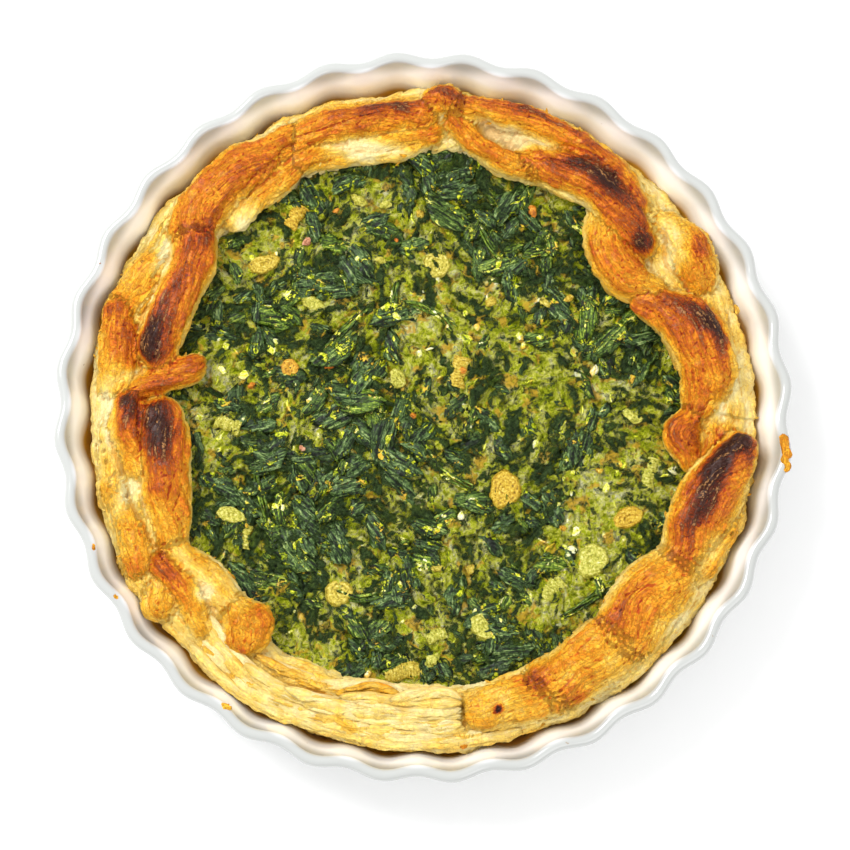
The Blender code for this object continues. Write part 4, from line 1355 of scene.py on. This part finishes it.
def make_leeks(look):
    """Ribbed strips of leek, arched across, with a rib about every millimetre."""
    pieces = []
    for number, (x, y, length, width, turn, warmth) in enumerate(LEEKS):
        columns, rows = int(length * 4), 8
        u, v = np.meshgrid(np.linspace(-1, 1, columns), np.linspace(-1, 1, rows), indexing="ij")
        ribs = u * length / 2 / 1.15 + 0.15 * np.sin(4 * v + number)
        rise = 0.9 * (1 - v**2) + 0.16 * np.cos(math.tau * ribs) - 0.5 * u**4
        bow = 0.08 * length * (1 - u**2)
        uneven = 1 + 0.1 * np.sin(7 * u + number)
        top = np.stack([u * length / 2, v * width / 2 * uneven + bow, rise], axis=-1) * MM
        points, faces = closed_sheet(top, 1.2 * MM)
        rings = np.concatenate([ribs.ravel(), np.zeros(len(points) - ribs.size)])
        values = {"grain": points, "tone": 0.4 * warmth, "rings": rings}
        pieces.append((laid(points, x, y, turn, 0.5, 8 * math.sin(number)), faces, values))
    heap("leek_strips", look, "spinach_filling", pieces)


def make_onions(look, sides=44, rows=18):
    """Oval slices of spring onion, cut across, with raised rings round a small hollow."""
    pieces = []
    for number, (x, y, length, width, turn, count, warmth) in enumerate(ONIONS):
        angle = np.arange(sides) * math.tau / sides
        points, rings = [], []
        for share in (1.0, *np.linspace(1.0, 0.05, rows)):
            wavy = share * (1 + 0.05 * np.sin(3 * angle + number) + 0.03 * np.sin(7 * angle + 2 * number))
            phase = count * share + 0.12 * np.sin(2 * angle + number)
            fallen_rim = 1.6 * ramp(share, 0.86, 1.0)
            rise = 0.09 * np.cos(math.tau * phase) - fallen_rim - 0.5 * ramp(share, 0.3, 0.0)
            if not points:
                rise = np.full(sides, -2.4)
            outline = [wavy * length / 2 * np.cos(angle), wavy * width / 2 * np.sin(angle), rise]
            points.append(np.stack(outline, axis=1) * MM)
            rings.append(phase)
        points = np.concatenate(points)
        values = {"grain": points, "tone": 0.45 * warmth, "rings": np.concatenate(rings)}
        faces = ring_faces(rows + 1, sides, ends=("first", "last"))
        pieces.append((laid(points, x, y, turn, 1.35, 4 * math.sin(2 * number)), faces, values))
    slices = [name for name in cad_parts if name.startswith("spring_onion")]
    heap("onion_slices", look, "spring_onion", pieces, *slices)


def make_stems(look):
    """Bundles of soft stem fibres, tapered at both ends."""
    pieces = []
    for number, rows in enumerate(STEMS):
        route = smooth_route(np.array(flat_rows(rows)) * MM, 1.2 * MM)
        count = len(route)
        sideways = right_of(route)
        share = np.linspace(0, 1, count)
        for strand in range(4):
            sway = 0.9 * (strand - 1.5) * (0.5 + 0.5 * share) + 0.4 * np.sin(share * 5 + 2 * strand)
            middle = route + sideways * (sway * MM)[:, None]
            lift = (0.6 + 0.35 * np.sin(share * 7 + 3 * strand)) * MM
            height = FILLING_LEVEL + filling_relief(on_floor(middle)) + lift
            half = (0.18 + 0.42 * np.sqrt(np.clip(4 * share * (1 - share), 0, 1))) * MM
            rings = []
            for k in range(STEM_SIDES):
                turn = math.tau * k / STEM_SIDES
                side = middle + sideways * (half * math.cos(turn))[:, None]
                rings.append(np.column_stack([side, height + half * math.sin(turn)]))
            points = np.stack(rings, axis=1).reshape(-1, 3)
            grain = np.column_stack([
                np.repeat(share * count * MM, STEM_SIDES),
                np.tile(np.arange(STEM_SIDES) * 0.3 * MM, count),
                np.full(len(points), 0.05 * number + 0.01 * strand),
            ])
            values = {"grain": grain, "tone": 0.75 + 0.08 * strand, "leaf": 0.7}
            pieces.append((points, ring_faces(count, STEM_SIDES, ends=("first", "last")), values))
    heap("stems", look, "spinach_filling", pieces)


def spinach_mash():
    """Node group: leaf, custard, the thin dark line between them as painted shade, and their relief."""
    tree, given = new_group(
        "spinach_mash", "ShaderNodeTree",
        {"Vector": "Vector", "Grain": "Vector", "Leaf": "Float", "Tone": "Float"},
        {"Color": "Color", "Height": "Float"},
    )
    swirl = grains(given("Vector"), 5 * MM, 2.0, 0.5).other("Color")
    pull = vectors("SCALE", vectors("SUBTRACT", swirl, (0.5, 0.5, 0.5)), Scale=9 * MM)
    moved = vectors("ADD", given("Vector"), pull)
    speckle = grains(moved, 1.2 * MM, 3.0, 0.65, 0.5)
    clots = grains(moved, 4.0 * MM, 3.0, 0.55, 0.6)
    fibres = strokes_of(given("Grain"), 0.15, 0.9 * MM, 3.0, 0.65, 0.5)
    streaks = strokes_of(given("Grain"), 0.3, 2.4 * MM, 3.0, 0.6, 1.0)
    torn = (clots - 0.5) * 1.6 + (streaks - 0.5) * 0.9 + (speckle - 0.5) * 0.6 + given("Leaf")
    # Thin dark lines where leaf meets custard, and crease lines through both: painted shade in the crevices.
    outline = mapped(abs(torn - 0.55), 0.0, 0.07, 1.0, 0.0)
    bands = grains(moved, 4.5 * MM, 3.0, 0.55, 1.0)
    crease_shade_lines = mapped(abs(bands - 0.5), 0.0, 0.014, 1.0, 0.0)
    outline = maths("MAXIMUM", outline, crease_shade_lines * 0.8)

    # Lighter on the raised fibres and grains, darker in pits: partly the leaf's and custard's own tone,
    # partly painted highlights and shade.
    light = fibres * 0.7 + speckle * 0.3
    leaf = colour_ramp(light, ".39 8 14 6, .46 26 42 16, .51 54 78 32, .57 88 114 60, .64 156 174 108")
    olive = blended(0.85, leaf, colour(250, 238, 90), "OVERLAY")
    leaf = blended(mapped(given("Tone"), 0.45, 0.95, 0.0, 0.8), leaf, olive)
    mixed = speckle * 0.35 + clots * 0.3 + fibres * 0.35 + (given("Tone") - 0.45) * 0.12
    custard = colour_ramp(mixed, """
        .37 70 86 4, .43 158 174 6, .48 220 224 36, .53 242 240 124, .59 250 248 206
    """)
    hot = mapped(grains(moved, 6 * MM, 2.0), 0.55, 0.64, 0.0, 0.8)
    custard = blended(hot, custard, colour(236, 186, 60))
    mix = blended(mapped(torn, 0.48, 0.56), custard, leaf)
    # Painted shade: the crevice lines are darkened almost to black.
    mix = blended(outline * 0.75, mix, colour(12, 20, 8))
    put_out(tree, {"Color": mix, "Height": light * 0.8 + clots * 1.1 - outline * 0.25})
    return tree


def mashed_look(name, mash, roughness, relief):
    """A moist material of spinach and custard, mixed as the piece's own values say."""
    look, tree, shader = new_look(name, roughness, specular=0.24)
    mashed = put(tree, "ShaderNodeGroup", {
        "Vector": vectors("MULTIPLY", object_place(tree), (1, 1, 0.5)),
        "Grain": vectors("ADD", attribute(tree, "grain", "Vector"), attribute(tree, "tone", "Vector")),
        "Leaf": attribute(tree, "leaf"),
        "Tone": attribute(tree, "tone"),
    }, "Color", node_tree=mash)
    # Painted shade: hollows of the surface are darkened.
    tint = blended(attribute(tree, "hollow") * 0.6, mashed, colour(74, 92, 52), "MULTIPLY")
    join(tint, shader.inputs["Base Color"])
    bumped(shader, mashed.other("Height"), relief)
    return look


def onion_look():
    """Soft baked onion and leek: pale rings or ribs between darker ones, browned by tone."""
    look, tree, shader = new_look("baked_onion", 0.34, specular=0.28, subsurface=0.1)
    place = object_place(tree)
    tone = attribute(tree, "tone")
    speckle = grains(place, 1.0 * MM, 4.0, 0.7, 0.5)
    wave = attribute(tree, "rings") * math.tau + grains(place, 3 * MM, 2.0) * 9.0
    light = mapped(maths("COSINE", wave), -1.0, 1.0) * 0.08 + speckle * 1.1
    pale = colour_ramp(light, ".4 104 104 20, .54 168 166 52, .68 206 202 96, .82 232 228 158")
    gold = colour_ramp(light, ".4 110 84 12, .54 186 142 28, .68 214 182 56, .82 236 216 118")
    brown = colour_ramp(light, ".35 110 44 10, .6 206 112 26, .85 236 168 70")
    rosy = colour_ramp(light, ".35 96 50 34, .6 200 134 96, .85 236 196 160")
    tint = blended(mapped(tone, 0.05, 0.4), pale, gold)
    tint = blended(mapped(tone, 0.4, 0.55), tint, brown)
    tint = blended(mapped(tone, 0.75, 0.9), tint, rosy)
    join(tint, shader.inputs["Base Color"])
    bumped(shader, light, 0.5 * MM)
    return look


# Crumbs of pastry on the dish: x, y, height, length and width in mm, and how far they are baked.
DISH_CRUMBS = flat_rows("""
    136.4 -13 44.9 10 4.4 .46, 136.6 -19 44.7 7 3.2 .4, -74 -111.5 44.4 4.5 3 .34, -124 -52 44.5 3 1.5 .5,
    -115.5 -70.5 44.6 3 1.6 .4, 15 -125.6 36.5 3 1.6 .5, 119.5 41 37 4 2 .3, -122.8 56 44.4 1.2 1 .6
""")


def make_crumbs(look):
    pieces = []
    for number, (x, y, height, length, width, bake) in enumerate(DISH_CRUMBS):
        points, faces = closed_sheet(crumpled(600 + number, length, width, 0.8, 0.15, 9, 6), 0.4 * MM)
        move = np.array(Matrix.Rotation(math.atan2(y, x) + math.pi / 2, 3, "Z"))
        placed = points @ move.T + np.array([x, y, height]) * MM
        pieces.append((placed, faces, {"bake": bake, "hollow": 0.0, "grain": points}))
    heap("dish_crumbs", look, "baked_puff_pastry", pieces)


def make_flakes(surface, look):
    """Tiny loose slivers that stand off the pale outer edge of the pastry."""
    slivers = scraps(
        "sliver", look, 5, 640, (1.8, 0.5), (0.7, 0.12), 0.2, 0.12, (5, 3), 0.15 * MM,
        bake=(0.16, 0.05), hollow=(0.0, 0),
    )
    scatter(
        "flake", surface, slivers, look, "baked_puff_pastry", gap=1.8 * MM, share=0.16, smallest=0.5,
        largest=1.2, lift=0.2 * MM, tilt=0.7, turn=1.2,
    )


# The camera and the light

VIEW_TILT = math.radians(8.6)
VIEW_SIDE = math.radians(-102.5)
VIEW_TARGET = Vector((0.2, -5.3, 45)) * MM
LENS = 150.0
SENSOR = 36.0
FRAME_WIDTH = 320.4 * MM

FLOOR_SIZE = 6
FLOOR_LEVEL = -0.4 * MM
FLOOR_DARK = (0.93, 0.93, 0.93, 1)
FLOOR_LIGHT = (0.95, 0.95, 0.95, 1)
ROOM_STRENGTH = 0.98
LIT_POINT = (0, 0, 0.03)


def aim(obj, place, target):
    """Stands a camera or a light at a place, facing the target, with the picture's top towards +Y."""
    ahead = (Vector(target) - Vector(place)).normalized()
    right = ahead.cross(Vector((0, 1, 0))).normalized()
    turn = Matrix((right, right.cross(ahead), -ahead)).transposed().to_4x4()
    obj.matrix_world = Matrix.Translation(Vector(place)) @ turn


def make_camera():
    data = bpy.data.cameras.new("photo_view")
    data.lens = LENS
    data.sensor_width = SENSOR
    camera = in_scene("photo_view", data)
    distance = FRAME_WIDTH * LENS / SENSOR
    sideways = Vector((math.cos(VIEW_SIDE), math.sin(VIEW_SIDE), 0)) * math.sin(VIEW_TILT)
    place = VIEW_TARGET + (sideways + Vector((0, 0, math.cos(VIEW_TILT)))) * distance
    aim(camera, place, VIEW_TARGET)
    bpy.context.scene.camera = camera


def make_light(name, place, size, power):
    """A round light that faces the tart."""
    data = bpy.data.lights.new(name, "AREA")
    data.shape = "DISK"
    data.size = size
    data.energy = power
    aim(in_scene(name, data), place, LIT_POINT)


def make_studio():
    look, tree, shader = new_look("pale_floor", 0.7, specular=0.2)
    shade = mapped(grains(object_place(tree), 0.4), 0.3, 0.7)
    join(blended(shade, FLOOR_DARK, FLOOR_LIGHT), shader.inputs["Base Color"])
    bpy.ops.mesh.primitive_plane_add(size=FLOOR_SIZE, location=(0, 0, FLOOR_LEVEL))
    floor = bpy.context.object
    floor.name = "pale_floor"
    floor.data.materials.append(look)
    world = bpy.data.worlds.new("soft_room")
    world.use_nodes = True
    background = world.node_tree.nodes["Background"]
    background.inputs["Color"].default_value = (1, 1, 1, 1)
    background.inputs["Strength"].default_value = ROOM_STRENGTH
    bpy.context.scene.world = world
    make_light("window", (-0.62, 0.5, 1.05), 0.7, 13.5)
    make_light("fill", (0.7, -0.8, 1.1), 1.0, 4.5)
    bpy.context.scene.view_settings.view_transform = "Standard"
    bpy.context.scene.view_settings.look = "None"


def main():
    make_camera()
    make_studio()
    make_dish(glaze_look())
    pastry = pastry_look(crinkled_skin())
    crust = make_crust(pastry)
    make_sheets(pastry)
    make_flakes(crust, pastry)
    make_cup(pastry)
    make_crumbs(pastry)
    mash = spinach_mash()
    surface = make_filling(mashed_look("spinach_filling", mash, 0.34, 1.3 * MM))
    leaf = mashed_look("spinach_leaf", mash, 0.3, 0.8 * MM)
    make_leaves(surface, leaf)
    make_stems(leaf)
    make_custard_bits(surface, mashed_look("custard_bits", mash, 0.38, 0.8 * MM))
    onion = onion_look()
    make_bits(onion)
    make_leeks(onion)
    make_onions(onion)


main()
